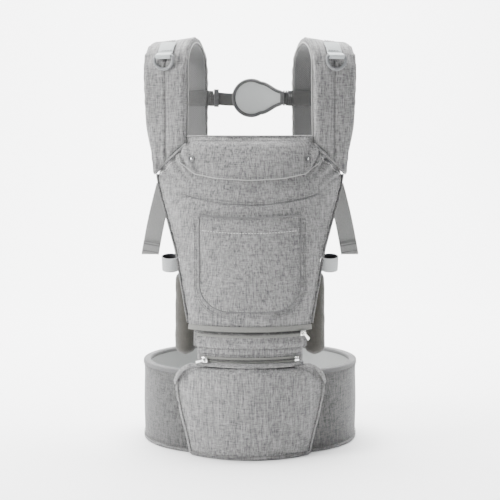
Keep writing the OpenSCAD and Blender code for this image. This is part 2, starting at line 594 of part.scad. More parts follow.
belt_pad();
belt_lining();
belt_binding_top();
belt_binding_bottom();
seat_pocket();
seat_foam();
seat_top();
seat_flap();
closure_flap();
closure_hook();
waist_webbing();
waist_female();
waist_male();
waist_prong_upper();
waist_prong_lower();
riser();
lower_zip_tape();
lower_zip_coil();
lower_zip_slider();
lower_zip_pull();
upper_zip_tape_low();
upper_zip_coil();
upper_zip_tape_high();
upper_zip_slider();
upper_zip_pull();
panel_pad();
panel_lining();
panel_binding();
panel_pocket();
side_bolsters();
side_loops();
lock_anchors();
ladder_locks();
head_flap();
snap_studs();
snap_caps();
strap_left();
strap_right();
strap_lining_left();
strap_lining_right();
lower_webbing_left();
lower_webbing_right();
tail_left();
tail_right();
ring_tabs();
d_ring_left();
d_ring_right();
chest_bands();
chest_glide();
chest_webbing();
chest_pad();
chest_female();
chest_male();
chest_prong_upper();
chest_prong_lower();
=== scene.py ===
"""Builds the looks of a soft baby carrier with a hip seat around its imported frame."""

import math

import bpy
import numpy as np
from bpy.props import FloatProperty, FloatVectorProperty, IntProperty, PointerProperty
from bpy.types import Operator, Panel, PropertyGroup
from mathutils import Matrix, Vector
from mathutils.bvhtree import BVHTree


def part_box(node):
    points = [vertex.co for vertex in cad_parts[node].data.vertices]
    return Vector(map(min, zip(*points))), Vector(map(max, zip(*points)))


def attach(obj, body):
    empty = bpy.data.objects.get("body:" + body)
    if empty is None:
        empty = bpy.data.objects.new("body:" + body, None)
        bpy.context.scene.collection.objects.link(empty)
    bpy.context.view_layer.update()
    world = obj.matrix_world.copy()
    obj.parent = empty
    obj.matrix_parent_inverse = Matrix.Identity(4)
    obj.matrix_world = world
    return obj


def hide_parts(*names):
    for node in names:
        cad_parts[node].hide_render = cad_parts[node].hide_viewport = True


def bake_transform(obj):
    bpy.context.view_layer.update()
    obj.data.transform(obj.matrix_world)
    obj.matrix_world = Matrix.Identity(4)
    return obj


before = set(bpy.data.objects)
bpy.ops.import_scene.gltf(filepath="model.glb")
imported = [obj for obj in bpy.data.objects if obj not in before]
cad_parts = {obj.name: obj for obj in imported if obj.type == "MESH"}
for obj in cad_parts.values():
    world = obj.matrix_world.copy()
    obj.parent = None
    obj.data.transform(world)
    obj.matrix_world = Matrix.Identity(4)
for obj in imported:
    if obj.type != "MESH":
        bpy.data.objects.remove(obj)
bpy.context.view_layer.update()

bl_info = {
    "name": "Soft Baby Carrier",
    "version": (1, 0, 0),
    "blender": (4, 5, 0),
    "location": "3D View > Sidebar > Carrier",
    "description": "Models the fabric, webbing and hardware of a hip-seat baby carrier",
    "category": "Add Mesh",
}


SIDES = ((-1, "left"), (1, "right"))


def low(name):
    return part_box(name)[0]


def high(name):
    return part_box(name)[1]


def mid_z(name):
    """The height of a CAD node's middle."""
    return (low(name).z + high(name).z) / 2


def on_right(side, *names):
    """The nodes that a pair of pieces stands for, which its right-hand piece names."""
    return names if side > 0 else ()


# ---------------------------------------------------------------- sizes from the frame
BELT_LOW, BELT_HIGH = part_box("belt_pad")
BELT_TOP = high("belt_binding_top").z
BELT_WALL = 0.0125
BELT_R = (BELT_HIGH.y - BELT_LOW.y) / 2
BELT_FLAT = (BELT_HIGH.x - BELT_LOW.x) / 2 - BELT_R
MID_Y = (BELT_HIGH.y + BELT_LOW.y) / 2
PANEL_LOW, PANEL_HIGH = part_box("panel_pad")
LEAN = math.radians(26)
CONE_K = 0.242
CONE_R0 = 0.150
CONE_Y = PANEL_LOW.y + CONE_R0 * math.cos(LEAN)
CONE_Z = PANEL_LOW.z - CONE_R0 * math.sin(LEAN)
PANEL_H = PANEL_HIGH.z - PANEL_LOW.z
CORNER_Z = PANEL_HIGH.z - 0.057
SEAM_Z = PANEL_HIGH.z - 0.013
PANEL_HALF = PANEL_HIGH.x
TOP_HALF = 0.100
LOW_HALF = high("upper_zip_tape_high").x
RISER_R = 0.150
RISER_Y = low("riser").y + RISER_R
SEAT_LOW, SEAT_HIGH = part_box("seat_pocket")
SEAT_R = 0.138
STRAP_TURN = math.radians(19)
STRAP_MID = Vector((0.117, MID_Y - 0.006, 0))
STRAP_LEG = 0.047
STRAP_T = 0.014
ARCH_Z = high("strap_right").z - STRAP_LEG - STRAP_T / 2
STRAP_FOOT = CORNER_Z - 0.004
BACK_END = CORNER_Z - 0.010
STRAP_HALF = 0.036
WEB_WIDTH = 0.0250
POD_WIDEN = 1.085
BUCKLE_X, BUCKLE_SHIFT = 0.152, 0.0155
HEM_DIP = 0.0042
RISER_ROWS = (("upper", 0.1705), ("lower", 0.1615))
ZIP_TAPE_R, COIL_R = 0.1511, 0.1526


class CarrierSizes(PropertyGroup):
    pad_swell: FloatProperty(name="Pad swell", description="How far the padding may swell",
                             default=0.0032, min=0, max=0.01, unit="LENGTH")
    voxel: FloatProperty(name="Voxel", description="Mesh size for the padding's simulation",
                         default=0.0048, min=0.003, max=0.008, unit="LENGTH")
    piping_radius: FloatProperty(name="Piping radius", description="Radius of the piped seams",
                                 default=0.0009, min=0.0005, max=0.003, unit="LENGTH")
    stitch_length: FloatProperty(name="Stitch length", description="Length of one visible stitch",
                                 default=0.0032, min=0.001, max=0.006, unit="LENGTH")
    stitch_pitch: FloatProperty(name="Stitch pitch", description="Distance between stitches",
                                default=0.0046, min=0.002, max=0.01, unit="LENGTH")
    frames: IntProperty(name="Simulation steps", description="Steps of each pad's simulation",
                        default=20, min=5, max=40)


def colour(name, description, value):
    return FloatVectorProperty(name=name, description=description, default=value,
                               subtype="COLOR", size=3, min=0, max=1)


class CarrierColours(PropertyGroup):
    linen_light: colour("Linen light", "Pale threads of the cover", (0.270, 0.267, 0.262))
    linen_dark: colour("Linen dark", "Dark threads of the cover", (0.072, 0.072, 0.073))
    mesh_light: colour("Light mesh", "Spacer mesh inside the belt", (0.48, 0.49, 0.48))
    mesh_grey: colour("Grey mesh", "Spacer mesh under the straps", (0.130, 0.130, 0.128))
    webbing: colour("Webbing", "Plain webbing", (0.22, 0.22, 0.215))
    webbing_dark: colour("Dark webbing", "Webbing of the cross strap", (0.090, 0.090, 0.088))
    webbing_pale: colour("Pale webbing", "Webbing of the ring tabs", (0.43, 0.455, 0.455))
    # Dark tape colour; on the belt's top edge it paints the shade on the linen binding.
    binding: colour("Binding", "Folded edge tape", (0.118, 0.118, 0.118))
    piping: colour("Piping", "Piped seams", (0.34, 0.34, 0.33))
    bolster: colour("Bolster", "Brushed cotton of the bolsters", (0.066, 0.063, 0.056))
    zip_tape: colour("Zip tape", "Woven zip tape", (0.190, 0.190, 0.177))
    plastic: colour("Buckle plastic", "Moulded buckles", (0.085, 0.085, 0.087))
    ring: colour("Ring plastic", "Moulded D-rings", (0.155, 0.16, 0.163))
    metal: colour("Zip metal", "Nickel of sliders, pulls and snaps", (0.80, 0.80, 0.78))


# ---------------------------------------------------------------- shader helpers
def node(tree, kind, where=(0, 0), **settings):
    made = tree.nodes.new(kind)
    made.location = where
    for key, value in settings.items():
        setattr(made, key, value)
    return made


def wire(tree, out, into):
    tree.links.new(out, into)


def sockets(group, ins, outs):
    for name, kind, default in ins:
        made = group.interface.new_socket(name=name, in_out="INPUT", socket_type=kind)
        if default is not None:
            made.default_value = default
    for name, kind in outs:
        group.interface.new_socket(name=name, in_out="OUTPUT", socket_type=kind)
    return group.nodes.new("NodeGroupInput"), group.nodes.new("NodeGroupOutput")


def maths(tree, operation, a, b=None, clamp=False):
    made = node(tree, "ShaderNodeMath", operation=operation, use_clamp=clamp)
    for slot, value in zip(made.inputs, (a, b)):
        if value is None:
            continue
        if isinstance(value, (int, float)):
            slot.default_value = value
        else:
            wire(tree, value, slot)
    return made.outputs[0]


def add(tree, a, b, clamp=False):
    return maths(tree, "ADD", a, b, clamp)


def times(tree, a, b):
    return maths(tree, "MULTIPLY", a, b)


def streaks(tree, vector, scale, detail, seed):
    turned = node(tree, "ShaderNodeMapping")
    turned.inputs["Scale"].default_value = scale
    turned.inputs["Location"].default_value = (seed, seed * 0.7, seed * 1.3)
    wire(tree, vector, turned.inputs["Vector"])
    noise = node(tree, "ShaderNodeTexNoise")
    noise.inputs["Scale"].default_value = 1.0
    noise.inputs["Detail"].default_value = detail
    noise.inputs["Roughness"].default_value = 0.62
    wire(tree, turned.outputs[0], noise.inputs["Vector"])
    return noise.outputs[0]


def remap(tree, value, a, b, c=0.0, d=1.0):
    made = node(tree, "ShaderNodeMapRange")
    for slot, number in zip(("From Min", "From Max", "To Min", "To Max"), (a, b, c, d)):
        made.inputs[slot].default_value = number
    wire(tree, value, made.inputs["Value"])
    return made.outputs[0]


def blend_colour(tree, factor, a, b, mode="MIX"):
    made = node(tree, "ShaderNodeMix", data_type="RGBA", blend_type=mode)
    for slot, value in ((0, factor), (6, a), (7, b)):
        if isinstance(value, (int, float)):
            made.inputs[slot].default_value = value
        elif isinstance(value, tuple):
            made.inputs[slot].default_value = (*value[:3], 1.0)
        else:
            wire(tree, value, made.inputs[slot])
    return made.outputs[2]


def group_once(name):
    found = bpy.data.node_groups.get(name)
    return (found, False) if found else (bpy.data.node_groups.new(name, "ShaderNodeTree"), True)


def heather_group():
    """Slubbed linen-look weave: long and short threads of two tones, and their relief."""
    tree, fresh = group_once("Heather weave")
    if not fresh:
        return tree
    gin, gout = sockets(tree, [
        ("Vector", "NodeSocketVector", None), ("Light", "NodeSocketColor", (0.5, 0.5, 0.5, 1)),
        ("Dark", "NodeSocketColor", (0.2, 0.2, 0.2, 1)), ("Pitch", "NodeSocketFloat", 0.0011),
    ], [("Color", "NodeSocketColor"), ("Height", "NodeSocketFloat"), ("Mottle", "NodeSocketFloat")])
    vector = gin.outputs["Vector"]
    warp = streaks(tree, vector, (640, 640, 95), 3, 3.1)
    weft = streaks(tree, vector, (120, 120, 640), 3, 7.7)
    slub = streaks(tree, vector, (420, 420, 34), 2, 1.9)
    cross = streaks(tree, vector, (50, 50, 420), 2, 5.3)
    mottle = streaks(tree, vector, (14, 14, 9), 3, 9.1)
    tone = add(tree, times(tree, warp, 0.36), times(tree, weft, 0.26))
    tone = add(tree, tone, times(tree, slub, 0.24))
    tone = add(tree, tone, times(tree, cross, 0.14))
    tone = remap(tree, tone, 0.41, 0.59)
    tone = add(tree, tone, times(tree, maths(tree, "SUBTRACT", mottle, 0.5), 0.22), clamp=True)
    wire(tree, blend_colour(tree, tone, gin.outputs["Dark"], gin.outputs["Light"]), gout.inputs["Color"])
    parts = node(tree, "ShaderNodeSeparateXYZ")
    wire(tree, vector, parts.inputs[0])
    across = add(tree, parts.outputs[0], parts.outputs[1])
    turn = maths(tree, "DIVIDE", 2 * math.pi, gin.outputs["Pitch"])
    rib = maths(tree, "SINE", times(tree, across, turn))
    row = maths(tree, "SINE", times(tree, parts.outputs[2], turn))
    weave = times(tree, rib, row)
    height = add(tree, times(tree, weave, 0.25), times(tree, tone, 0.9))
    wire(tree, height, gout.inputs["Height"])
    wire(tree, mottle, gout.inputs["Mottle"])
    return tree


def webbing_group():
    """Herringbone ribs of woven webbing, with a worn, fuzzy tone."""
    tree, fresh = group_once("Webbing ribs")
    if not fresh:
        return tree
    gin, gout = sockets(tree, [
        ("Vector", "NodeSocketVector", None), ("Color", "NodeSocketColor", (0.3, 0.3, 0.3, 1)),
        ("Pitch", "NodeSocketFloat", 0.0017),
    ], [("Color", "NodeSocketColor"), ("Height", "NodeSocketFloat")])
    parts = node(tree, "ShaderNodeSeparateXYZ")
    wire(tree, gin.outputs["Vector"], parts.inputs[0])
    turn = maths(tree, "DIVIDE", 2 * math.pi, gin.outputs["Pitch"])
    zigzag = maths(tree, "PINGPONG", parts.outputs[0], 0.0031)
    along = add(tree, parts.outputs[2], times(tree, zigzag, 0.9))
    rib = maths(tree, "SINE", times(tree, along, turn))
    yarn = maths(tree, "SINE", times(tree, parts.outputs[0], 2 * math.pi / 0.00155))
    height = add(tree, times(tree, rib, 0.5), times(tree, yarn, 0.35))
    fuzz = streaks(tree, gin.outputs["Vector"], (700, 700, 300), 3, 2.2)
    tone = add(tree, remap(tree, height, -0.85, 0.85, 0.80, 1.08),
                 times(tree, maths(tree, "SUBTRACT", fuzz, 0.5), 0.45))
    shade = node(tree, "ShaderNodeVectorMath", operation="SCALE")
    wire(tree, gin.outputs["Color"], shade.inputs[0])
    wire(tree, tone, shade.inputs["Scale"])
    wire(tree, shade.outputs[0], gout.inputs["Color"])
    wire(tree, add(tree, height, times(tree, fuzz, 0.5)), gout.inputs["Height"])
    return tree


def mesh_group():
    """Spacer mesh: rows of small staggered holes, seen as dots."""
    tree, fresh = group_once("Spacer mesh")
    if not fresh:
        return tree
    gin, gout = sockets(tree, [
        ("Vector", "NodeSocketVector", None), ("Color", "NodeSocketColor", (0.6, 0.6, 0.6, 1)),
        ("Hole", "NodeSocketColor", (0.2, 0.2, 0.2, 1)), ("Pitch", "NodeSocketFloat", 0.0032),
    ], [("Color", "NodeSocketColor"), ("Height", "NodeSocketFloat")])
    parts = node(tree, "ShaderNodeSeparateXYZ")
    wire(tree, gin.outputs["Vector"], parts.inputs[0])
    turn = maths(tree, "DIVIDE", math.pi, gin.outputs["Pitch"])
    a = times(tree, add(tree, parts.outputs[0], parts.outputs[2]), turn)
    b = times(tree, maths(tree, "SUBTRACT", parts.outputs[0], parts.outputs[2]), turn)
    dots = times(tree, maths(tree, "SINE", a), maths(tree, "SINE", b))
    hole = remap(tree, maths(tree, "ABSOLUTE", dots), 0.45, 0.80)
    fuzz = streaks(tree, gin.outputs["Vector"], (420, 420, 420), 3, 6.4)
    base = blend_colour(tree, times(tree, fuzz, 0.35), gin.outputs["Color"],
                        gin.outputs["Hole"])
    wire(tree, blend_colour(tree, hole, base, gin.outputs["Hole"]), gout.inputs["Color"])
    wire(tree, maths(tree, "SUBTRACT", 1.0, hole), gout.inputs["Height"])
    return tree


def wear_group():
    """Fine moulded grain with faint scuffs, for plastic and metal."""
    tree, fresh = group_once("Grain and scuffs")
    if not fresh:
        return tree
    gin, gout = sockets(tree, [
        ("Vector", "NodeSocketVector", None), ("Color", "NodeSocketColor", (0.3, 0.3, 0.3, 1)),
        ("Grain", "NodeSocketFloat", 1800.0), ("Scuff", "NodeSocketFloat", 0.3),
    ], [("Color", "NodeSocketColor"), ("Roughness", "NodeSocketFloat"), ("Height", "NodeSocketFloat")])
    noise = node(tree, "ShaderNodeTexNoise")
    noise.inputs["Detail"].default_value = 3
    wire(tree, gin.outputs["Vector"], noise.inputs["Vector"])
    wire(tree, gin.outputs["Grain"], noise.inputs["Scale"])
    scuff = remap(tree, streaks(tree, gin.outputs["Vector"], (90, 260, 90), 5, 4.4), 0.48, 0.72)
    amount = times(tree, scuff, gin.outputs["Scuff"])
    wire(tree, blend_colour(tree, amount, gin.outputs["Color"], (0.75, 0.75, 0.74)),
         gout.inputs["Color"])
    wire(tree, remap(tree, amount, 0, 0.5, 0.34, 0.62), gout.inputs["Roughness"])
    wire(tree, noise.outputs[0], gout.inputs["Height"])
    return tree


def thread_vector(tree):
    """Where a point lies along and across its own threads."""
    return node(tree, "ShaderNodeAttribute", attribute_name="thread").outputs["Vector"]


def object_vector(tree):
    return node(tree, "ShaderNodeTexCoord").outputs["Object"]


def start_material(name, rough, sheen=0.0, specular=0.3):
    made = bpy.data.materials.new(name)
    made.use_nodes = True
    tree = made.node_tree
    tree.nodes.clear()
    out = node(tree, "ShaderNodeOutputMaterial", (600, 0))
    shader = node(tree, "ShaderNodeBsdfPrincipled", (300, 0))
    shader.inputs["Roughness"].default_value = rough
    shader.inputs["Specular IOR Level"].default_value = specular
    shader.inputs["Sheen Weight"].default_value = sheen
    shader.inputs["Sheen Roughness"].default_value = 0.5
    wire(tree, shader.outputs[0], out.inputs[0])
    return made, tree, shader


def add_bump(tree, shader, height, distance, strength=1.0):
    bump = node(tree, "ShaderNodeBump", (60, -300))
    bump.inputs["Distance"].default_value = distance
    bump.inputs["Strength"].default_value = strength
    wire(tree, height, bump.inputs["Height"])
    wire(tree, bump.outputs[0], shader.inputs["Normal"])


def place_group(tree, group, vector, **values):
    made = node(tree, "ShaderNodeGroup", (-200, 0), node_tree=group)
    wire(tree, vector, made.inputs["Vector"])
    for key, value in values.items():
        socket = made.inputs[key]
        socket.default_value = (*value, 1.0) if hasattr(value, "__len__") and len(value) == 3 else value
    return made


def heather_material(name, light, dark):
    made, tree, shader = start_material(name, 0.92, sheen=0.25, specular=0.2)
    cloth = place_group(tree, heather_group(), thread_vector(tree), Light=light, Dark=dark, Pitch=0.0011)
    wire(tree, cloth.outputs["Color"], shader.inputs["Base Color"])
    wire(tree, remap(tree, cloth.outputs["Mottle"], 0.3, 0.7, 0.86, 0.97), shader.inputs["Roughness"])
    add_bump(tree, shader, cloth.outputs["Height"], 0.00035, 0.8)
    return made


def webbing_material(name, tone, pitch=0.0017):
    made, tree, shader = start_material(name, 0.78, sheen=0.15, specular=0.3)
    cloth = place_group(tree, webbing_group(), thread_vector(tree), Color=tone, Pitch=pitch)
    wire(tree, cloth.outputs["Color"], shader.inputs["Base Color"])
    add_bump(tree, shader, cloth.outputs["Height"], 0.0003, 0.9)
    return made


def mesh_material(name, tone, hole, pitch=0.0032):
    made, tree, shader = start_material(name, 0.85, sheen=0.2, specular=0.25)
    cloth = place_group(tree, mesh_group(), thread_vector(tree), Color=tone, Hole=hole, Pitch=pitch)
    wire(tree, cloth.outputs["Color"], shader.inputs["Base Color"])
    add_bump(tree, shader, cloth.outputs["Height"], 0.0006, 0.9)
    return made


def plain_material(name, tone, rough=0.4, metallic=0.0, grain=1800.0, scuff=0.1, coat=0.0,
                   bump=0.00005):
    made, tree, shader = start_material(name, rough, specular=0.5)
    skin = place_group(tree, wear_group(), object_vector(tree), Color=tone, Grain=grain, Scuff=scuff)
    wire(tree, skin.outputs["Color"], shader.inputs["Base Color"])
    if metallic:
        shader.inputs["Metallic"].default_value = metallic
    else:
        wire(tree, skin.outputs["Roughness"], shader.inputs["Roughness"])
    shader.inputs["Coat Weight"].default_value = coat
    add_bump(tree, shader, skin.outputs["Height"], bump, 0.5)
    return made


def toned(colour_value, factor):
    return [v * factor for v in colour_value]


MATERIALS = {}


def material(name):
    if name in MATERIALS:
        return MATERIALS[name]
    c = bpy.context.scene.carrier_colours
    recipes = {
        "heather": lambda: heather_material("Heather linen", c.linen_light, c.linen_dark),
        # A darker copy of the cover linen: painted shade for folds, hems, bindings and seams.
        "heather_dark": lambda: heather_material(
            "Heather linen, shaded fold", toned(c.linen_light, 0.8), toned(c.linen_dark, 0.75)),
        # The cover linen at under half its tone for the belt: painted shade on a copy of the same cloth.
        "heather_belt_shaded": lambda: heather_material(
            "Heather linen, belt in painted shade", toned(c.linen_light, 0.45), toned(c.linen_dark, 0.50)),
        "belt_mesh": lambda: mesh_material(
            "Belt spacer mesh", toned(c.mesh_light, 0.78), (0.20, 0.21, 0.21)),
        "pad_mesh": lambda: mesh_material(
            "Pad spacer mesh", toned(c.mesh_light, 1.6), (0.46, 0.47, 0.47), 0.0026),
        "strap_mesh": lambda: mesh_material("Strap spacer mesh", c.mesh_grey, (0.13, 0.13, 0.13)),
        "webbing": lambda: webbing_material("Grey webbing", c.webbing),
        "webbing_dark": lambda: webbing_material("Dark webbing", c.webbing_dark),
        "webbing_pale": lambda: webbing_material("Pale webbing", c.webbing_pale),
        "loop_band": lambda: webbing_material("Loop webbing", (0.37, 0.38, 0.38)),
        "webbing_black": lambda: webbing_material("Black webbing", (0.02, 0.02, 0.022)),
        "binding": lambda: webbing_material("Binding tape", c.binding, 0.0012),
        "piping": lambda: webbing_material("Piping", c.piping, 0.0014),
        "thread": lambda: webbing_material("Sewing thread", (0.62, 0.62, 0.60), 0.0008),
        # Dark sewing thread for the stitches; the same material also paints the shadow lines laid in
        # folds and seams.
        "dark_thread_and_shade_line": lambda: webbing_material("Dark thread and painted shadow line", (0.12, 0.12, 0.12), 0.0008),
        "bolster": lambda: heather_material("Brushed cotton", c.bolster, toned(c.bolster, 0.86)),
        "zip_tape": lambda: webbing_material("Zip tape", c.zip_tape, 0.0011),
        # Dark nylon for the zip coils, partly their own colour and partly painted shadow in the gap
        # between the tapes; it also colours the painted shadow strip behind the upper zip.
        "zip_coil": lambda: plain_material("Nylon coil", (0.055, 0.055, 0.052), 0.5),
        "zip_metal": lambda: plain_material("Nickel", c.metal, 0.2, metallic=1.0, grain=900, scuff=0.2),
        "snap_metal": lambda: plain_material("Satin snap", (0.075, 0.075, 0.075), 0.4, metallic=0.3),
        "plastic": lambda: plain_material("Buckle plastic", c.plastic, 0.45, scuff=0.08, bump=0.0001),
        "ring": lambda: plain_material("Ring plastic", c.ring, 0.35, scuff=0.15, coat=0.1),
        "hook": lambda: mesh_material("Hook tape", (0.05, 0.05, 0.055), (0.01, 0.01, 0.01), 0.0018),
        "loop": lambda: heather_material("Loop pile", (0.16, 0.16, 0.165), (0.09, 0.09, 0.095)),
        "grip": lambda: mesh_material("Grip fabric", (0.07, 0.07, 0.075), (0.16, 0.16, 0.165), 0.005),
        "foam": lambda: plain_material("Bead foam", (0.82, 0.82, 0.79), 0.7, grain=260, bump=0.0006),
    }
    MATERIALS[name] = recipes[name]()
    return MATERIALS[name]


# ---------------------------------------------------------------- mesh helpers
def deselect():
    if bpy.context.object and bpy.context.object.mode != "OBJECT":
        bpy.ops.object.mode_set(mode="OBJECT")
    bpy.ops.object.select_all(action="DESELECT")


def activate(obj):
    deselect()
    obj.select_set(True)
    bpy.context.view_layer.objects.active = obj


def read(vertices, key):
    flat = np.empty(len(vertices) * 3)
    vertices.foreach_get(key, flat)
    return flat.reshape(-1, 3)


def coords(obj):
    return read(obj.data.vertices, "co")


def set_coords(obj, points):
    obj.data.vertices.foreach_set("co", np.asarray(points, float).ravel())
    obj.data.update()


def set_thread(obj, places):
    """Stores where each point lies along and across its own threads."""
    layer = obj.data.attributes.new("thread", "FLOAT_VECTOR", "POINT")
    layer.data.foreach_set("vector", np.asarray(places, np.float32).ravel())


def apply_modifier(obj, kind, **settings):
    activate(obj)
    made = obj.modifiers.new(kind.title(), kind)
    for key, value in settings.items():
        setattr(made, key, value)
    bpy.ops.object.modifier_apply(modifier=made.name)


def bevel(obj, width, angle, segments=3):
    apply_modifier(obj, "BEVEL", width=width, segments=segments, limit_method="ANGLE",
                   angle_limit=math.radians(angle))


def outward(obj):
    """Welds doubled points and turns every face outward."""
    activate(obj)
    bpy.ops.object.mode_set(mode="EDIT")
    bpy.ops.mesh.select_all(action="SELECT")
    bpy.ops.mesh.remove_doubles(threshold=1e-6)
    bpy.ops.mesh.normals_make_consistent(inside=False)
    bpy.ops.object.mode_set(mode="OBJECT")
    return obj


def finish_piece(obj, body, slot, look, angle=40, nodes=()):
    """Smooth shading, material, hiding the CAD nodes that it stands for, and the body that it rides. The
    slot is not used.
    """
    activate(obj)
    bpy.ops.object.shade_smooth_by_angle(angle=math.radians(angle))
    obj.data.materials.clear()
    obj.data.materials.append(material(look))
    if "thread" not in obj.data.attributes:
        set_thread(obj, coords(obj))
    if nodes:
        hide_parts(*nodes)
    if body:
        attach(obj, body)
    return obj


def grid(name, nx, ny, place):
    """A grid primitive whose points are carried to place(u, v), with u and v from -1 to 1."""
    deselect()
    bpy.ops.mesh.primitive_grid_add(x_subdivisions=nx, y_subdivisions=ny, size=2, location=(0, 0, 0))
    obj = bpy.context.object
    obj.name = name
    set_coords(obj, [place(p[0], p[1]) for p in coords(obj)])
    return obj


def thicken(obj, thickness, offset=0.0):
    apply_modifier(obj, "SOLIDIFY", thickness=thickness, offset=offset, use_even_offset=False)
    outward(obj)


STUFFING = {"quality": 5, "mass": 0.25, "tension_stiffness": 12, "compression_stiffness": 12,
            "shear_stiffness": 6, "bending_stiffness": 0.4, "use_pressure": True}


def swell(obj, cap, pressure=4.0, fixed=None):
    """Blows a closed pad up like stuffing does: remesh, cloth with pressure, capped, subdivided."""
    sizes = bpy.context.scene.carrier_sizes
    obj.data.remesh_voxel_size = sizes.voxel
    activate(obj)
    bpy.ops.object.voxel_remesh()
    start = coords(obj)
    cloth = obj.modifiers.new("Cloth", "CLOTH")
    for key, value in STUFFING.items():
        setattr(cloth.settings, key, value)
    cloth.settings.uniform_pressure_force = pressure
    cloth.settings.effector_weights.gravity = 0
    cloth.collision_settings.use_collision = False
    scene = bpy.context.scene
    cloth.point_cache.frame_start = 1
    cloth.point_cache.frame_end = sizes.frames
    for step in range(1, sizes.frames + 1):
        scene.frame_set(step)
    shown = obj.evaluated_get(bpy.context.evaluated_depsgraph_get())
    moved = read(shown.data.vertices, "co") - start
    obj.modifiers.remove(cloth)
    scene.frame_set(1)
    moved -= moved.mean(axis=0)
    length = np.maximum(np.linalg.norm(moved, axis=1), 1e-9)
    moved *= (np.minimum(length, cap) / length)[:, None]
    if fixed is not None:
        moved *= fixed(start)[:, None]
    set_coords(obj, start + moved)
    apply_modifier(obj, "SUBSURF", levels=1, render_levels=1)


def relief(obj, height):
    """Moves each point along its normal by height(points, normals)."""
    points, normals = coords(obj), read(obj.data.vertices, "normal")
    set_coords(obj, points + normals * height(points, normals)[:, None])


def from_faces(name, points, faces):
    data = bpy.data.meshes.new(name)
    obj = bpy.data.objects.new(name, data)
    bpy.context.scene.collection.objects.link(obj)
    data.from_pydata([tuple(p) for p in points], [], faces)
    data.update()
    return obj


def from_rings(name, rings, closed=False, caps=True):
    """A skin over equal rings of points."""
    n, m = len(rings), len(rings[0])
    faces = []
    for i in range(n if closed else n - 1):
        for k in range(m):
            a, b = i * m + k, i * m + (k + 1) % m
            c, d = ((i + 1) % n) * m + (k + 1) % m, ((i + 1) % n) * m + k
            faces.append((a, b, c, d))
    if caps and not closed:
        faces.append(tuple(range(m - 1, -1, -1)))
        faces.append(tuple((n - 1) * m + k for k in range(m)))
    return from_faces(name, [p for ring in rings for p in ring], faces)


def along_path(path, closed=False):
    """The distance along a path at each of its points."""
    steps = np.linalg.norm(np.diff(np.array([*path, path[0]] if closed else path), axis=0), axis=1)
    return np.concatenate([[0], np.cumsum(steps)])


def ways_at(tangent, faces_to, i):
    """The ways across and out at a point of a path; faces_to is a vector or gives one for a point."""
    out = Vector(faces_to(i) if callable(faces_to) else faces_to)
    across = tangent.cross(out).normalized()
    return across, across.cross(tangent).normalized()


def sweep(name, path, faces_to, profile, closed=False):
    """Carries a profile of (across, out) points along a path; faces_to gives the way out at a point."""
    path = [Vector(p) for p in path]
    n = len(path)
    run = along_path(path, closed)
    rings, threads = [], []
    for i, p in enumerate(path):
        before = path[(i - 1) % n] if closed else path[max(i - 1, 0)]
        after = path[(i + 1) % n] if closed else path[min(i + 1, n - 1)]
        tangent = (after - before).normalized()
        across, out = ways_at(tangent, faces_to, i)
        rings.append([p + across * a + out * b for a, b in profile])
        threads += [(a, b, run[i]) for a, b in profile]
    obj = from_rings(name, rings, closed)
    set_thread(obj, threads)
    return outward(obj)


def swept(name, path, faces_to, profile, body, slot, look, closed=False, **finish):
    """A profile swept along a path, as a finished piece."""
    return finish_piece(sweep(name, path, faces_to, profile, closed), body, slot, look, **finish)


def painted_shadow_line(name, path, faces_to, body, radius=0.0007, closed=False):
    """A dark cord in sewing thread's colour, sunk in a sewn fold: a painted shadow line."""
    line = sweep(name, path, faces_to, round_profile(radius, 6, tall=0.7), closed)
    return finish_piece(line, body, "heather_fabric", "dark_thread_and_shade_line", angle=80)


def full_turn(count):
    return [2 * math.pi * k / count for k in range(count)]


def round_profile(radius, sides=10, wide=1, tall=1):
    return [(radius * math.cos(a) * wide, radius * math.sin(a) * tall) for a in full_turn(sides)]


def strip_profile(width, thick, sides=4):
    """A flat strip with rounded selvedges."""
    half, r = width / 2 - thick / 2, thick / 2
    turn = [math.pi / 2 - math.pi * k / sides for k in range(sides + 1)]
    right = [(half + r * math.cos(a), r * math.sin(a)) for a in turn]
    middle = [(half * t, r) for t in (-0.6, -0.2, 0.2, 0.6)]
    left = [(-a, b) for a, b in reversed(right)]
    under = [(a, -b) for a, b in reversed(middle)]
    return [*middle, *right, *under, *left]


def stitches(name, path, faces_to, look, body, slot):
    """A row of short raised stitches along a path."""
    sizes = bpy.context.scene.carrier_sizes
    path = [Vector(p) for p in path]
    run = along_path(path)
    count = max(2, int(run[-1] / sizes.stitch_pitch))
    half, wide, tall = sizes.stitch_length / 2, 0.00042, 0.00045
    points, faces = [], []
    box = [(0, 1, 2, 3), (7, 6, 5, 4), (0, 4, 5, 1), (1, 5, 6, 2), (2, 6, 7, 3), (3, 7, 4, 0)]
    for k in range(count):
        at = (k + 0.5) * sizes.stitch_pitch
        i = min(int(np.searchsorted(run, at)), len(path) - 1)
        t = (at - run[i - 1]) / max(run[i] - run[i - 1], 1e-9)
        p = path[i - 1].lerp(path[i], t)
        tangent = (path[i] - path[i - 1]).normalized()
        across, out = ways_at(tangent, faces_to, i)
        first = len(points)
        for rise, spread in ((-0.2, 1.0), (1.0, 0.55)):
            for a, b in ((-1, -1), (1, -1), (1, 1), (-1, 1)):
                points.append(p + tangent * a * half * (0.6 + 0.4 * spread) + across * b * wide * spread
                              + out * tall * rise)
        faces += [tuple(first + v for v in face) for face in box]
    return finish_piece(outward(from_faces(name, points, faces)), body, slot, look, angle=60)


# ---------------------------------------------------------------- the carrier's surfaces
def between(start, end, u):
    """The place from start at u = -1 to end at u = 1."""
    return (start + end) / 2 + (end - start) / 2 * u


def axial(x, z):
    q = z - PANEL_LOW.z
    for _ in range(8):
        r = CONE_R0 + CONE_K * q
        q = (z - CONE_Z - math.sin(LEAN) * math.sqrt(max(r * r - x * x, 1e-9))) / math.cos(LEAN)
    return q


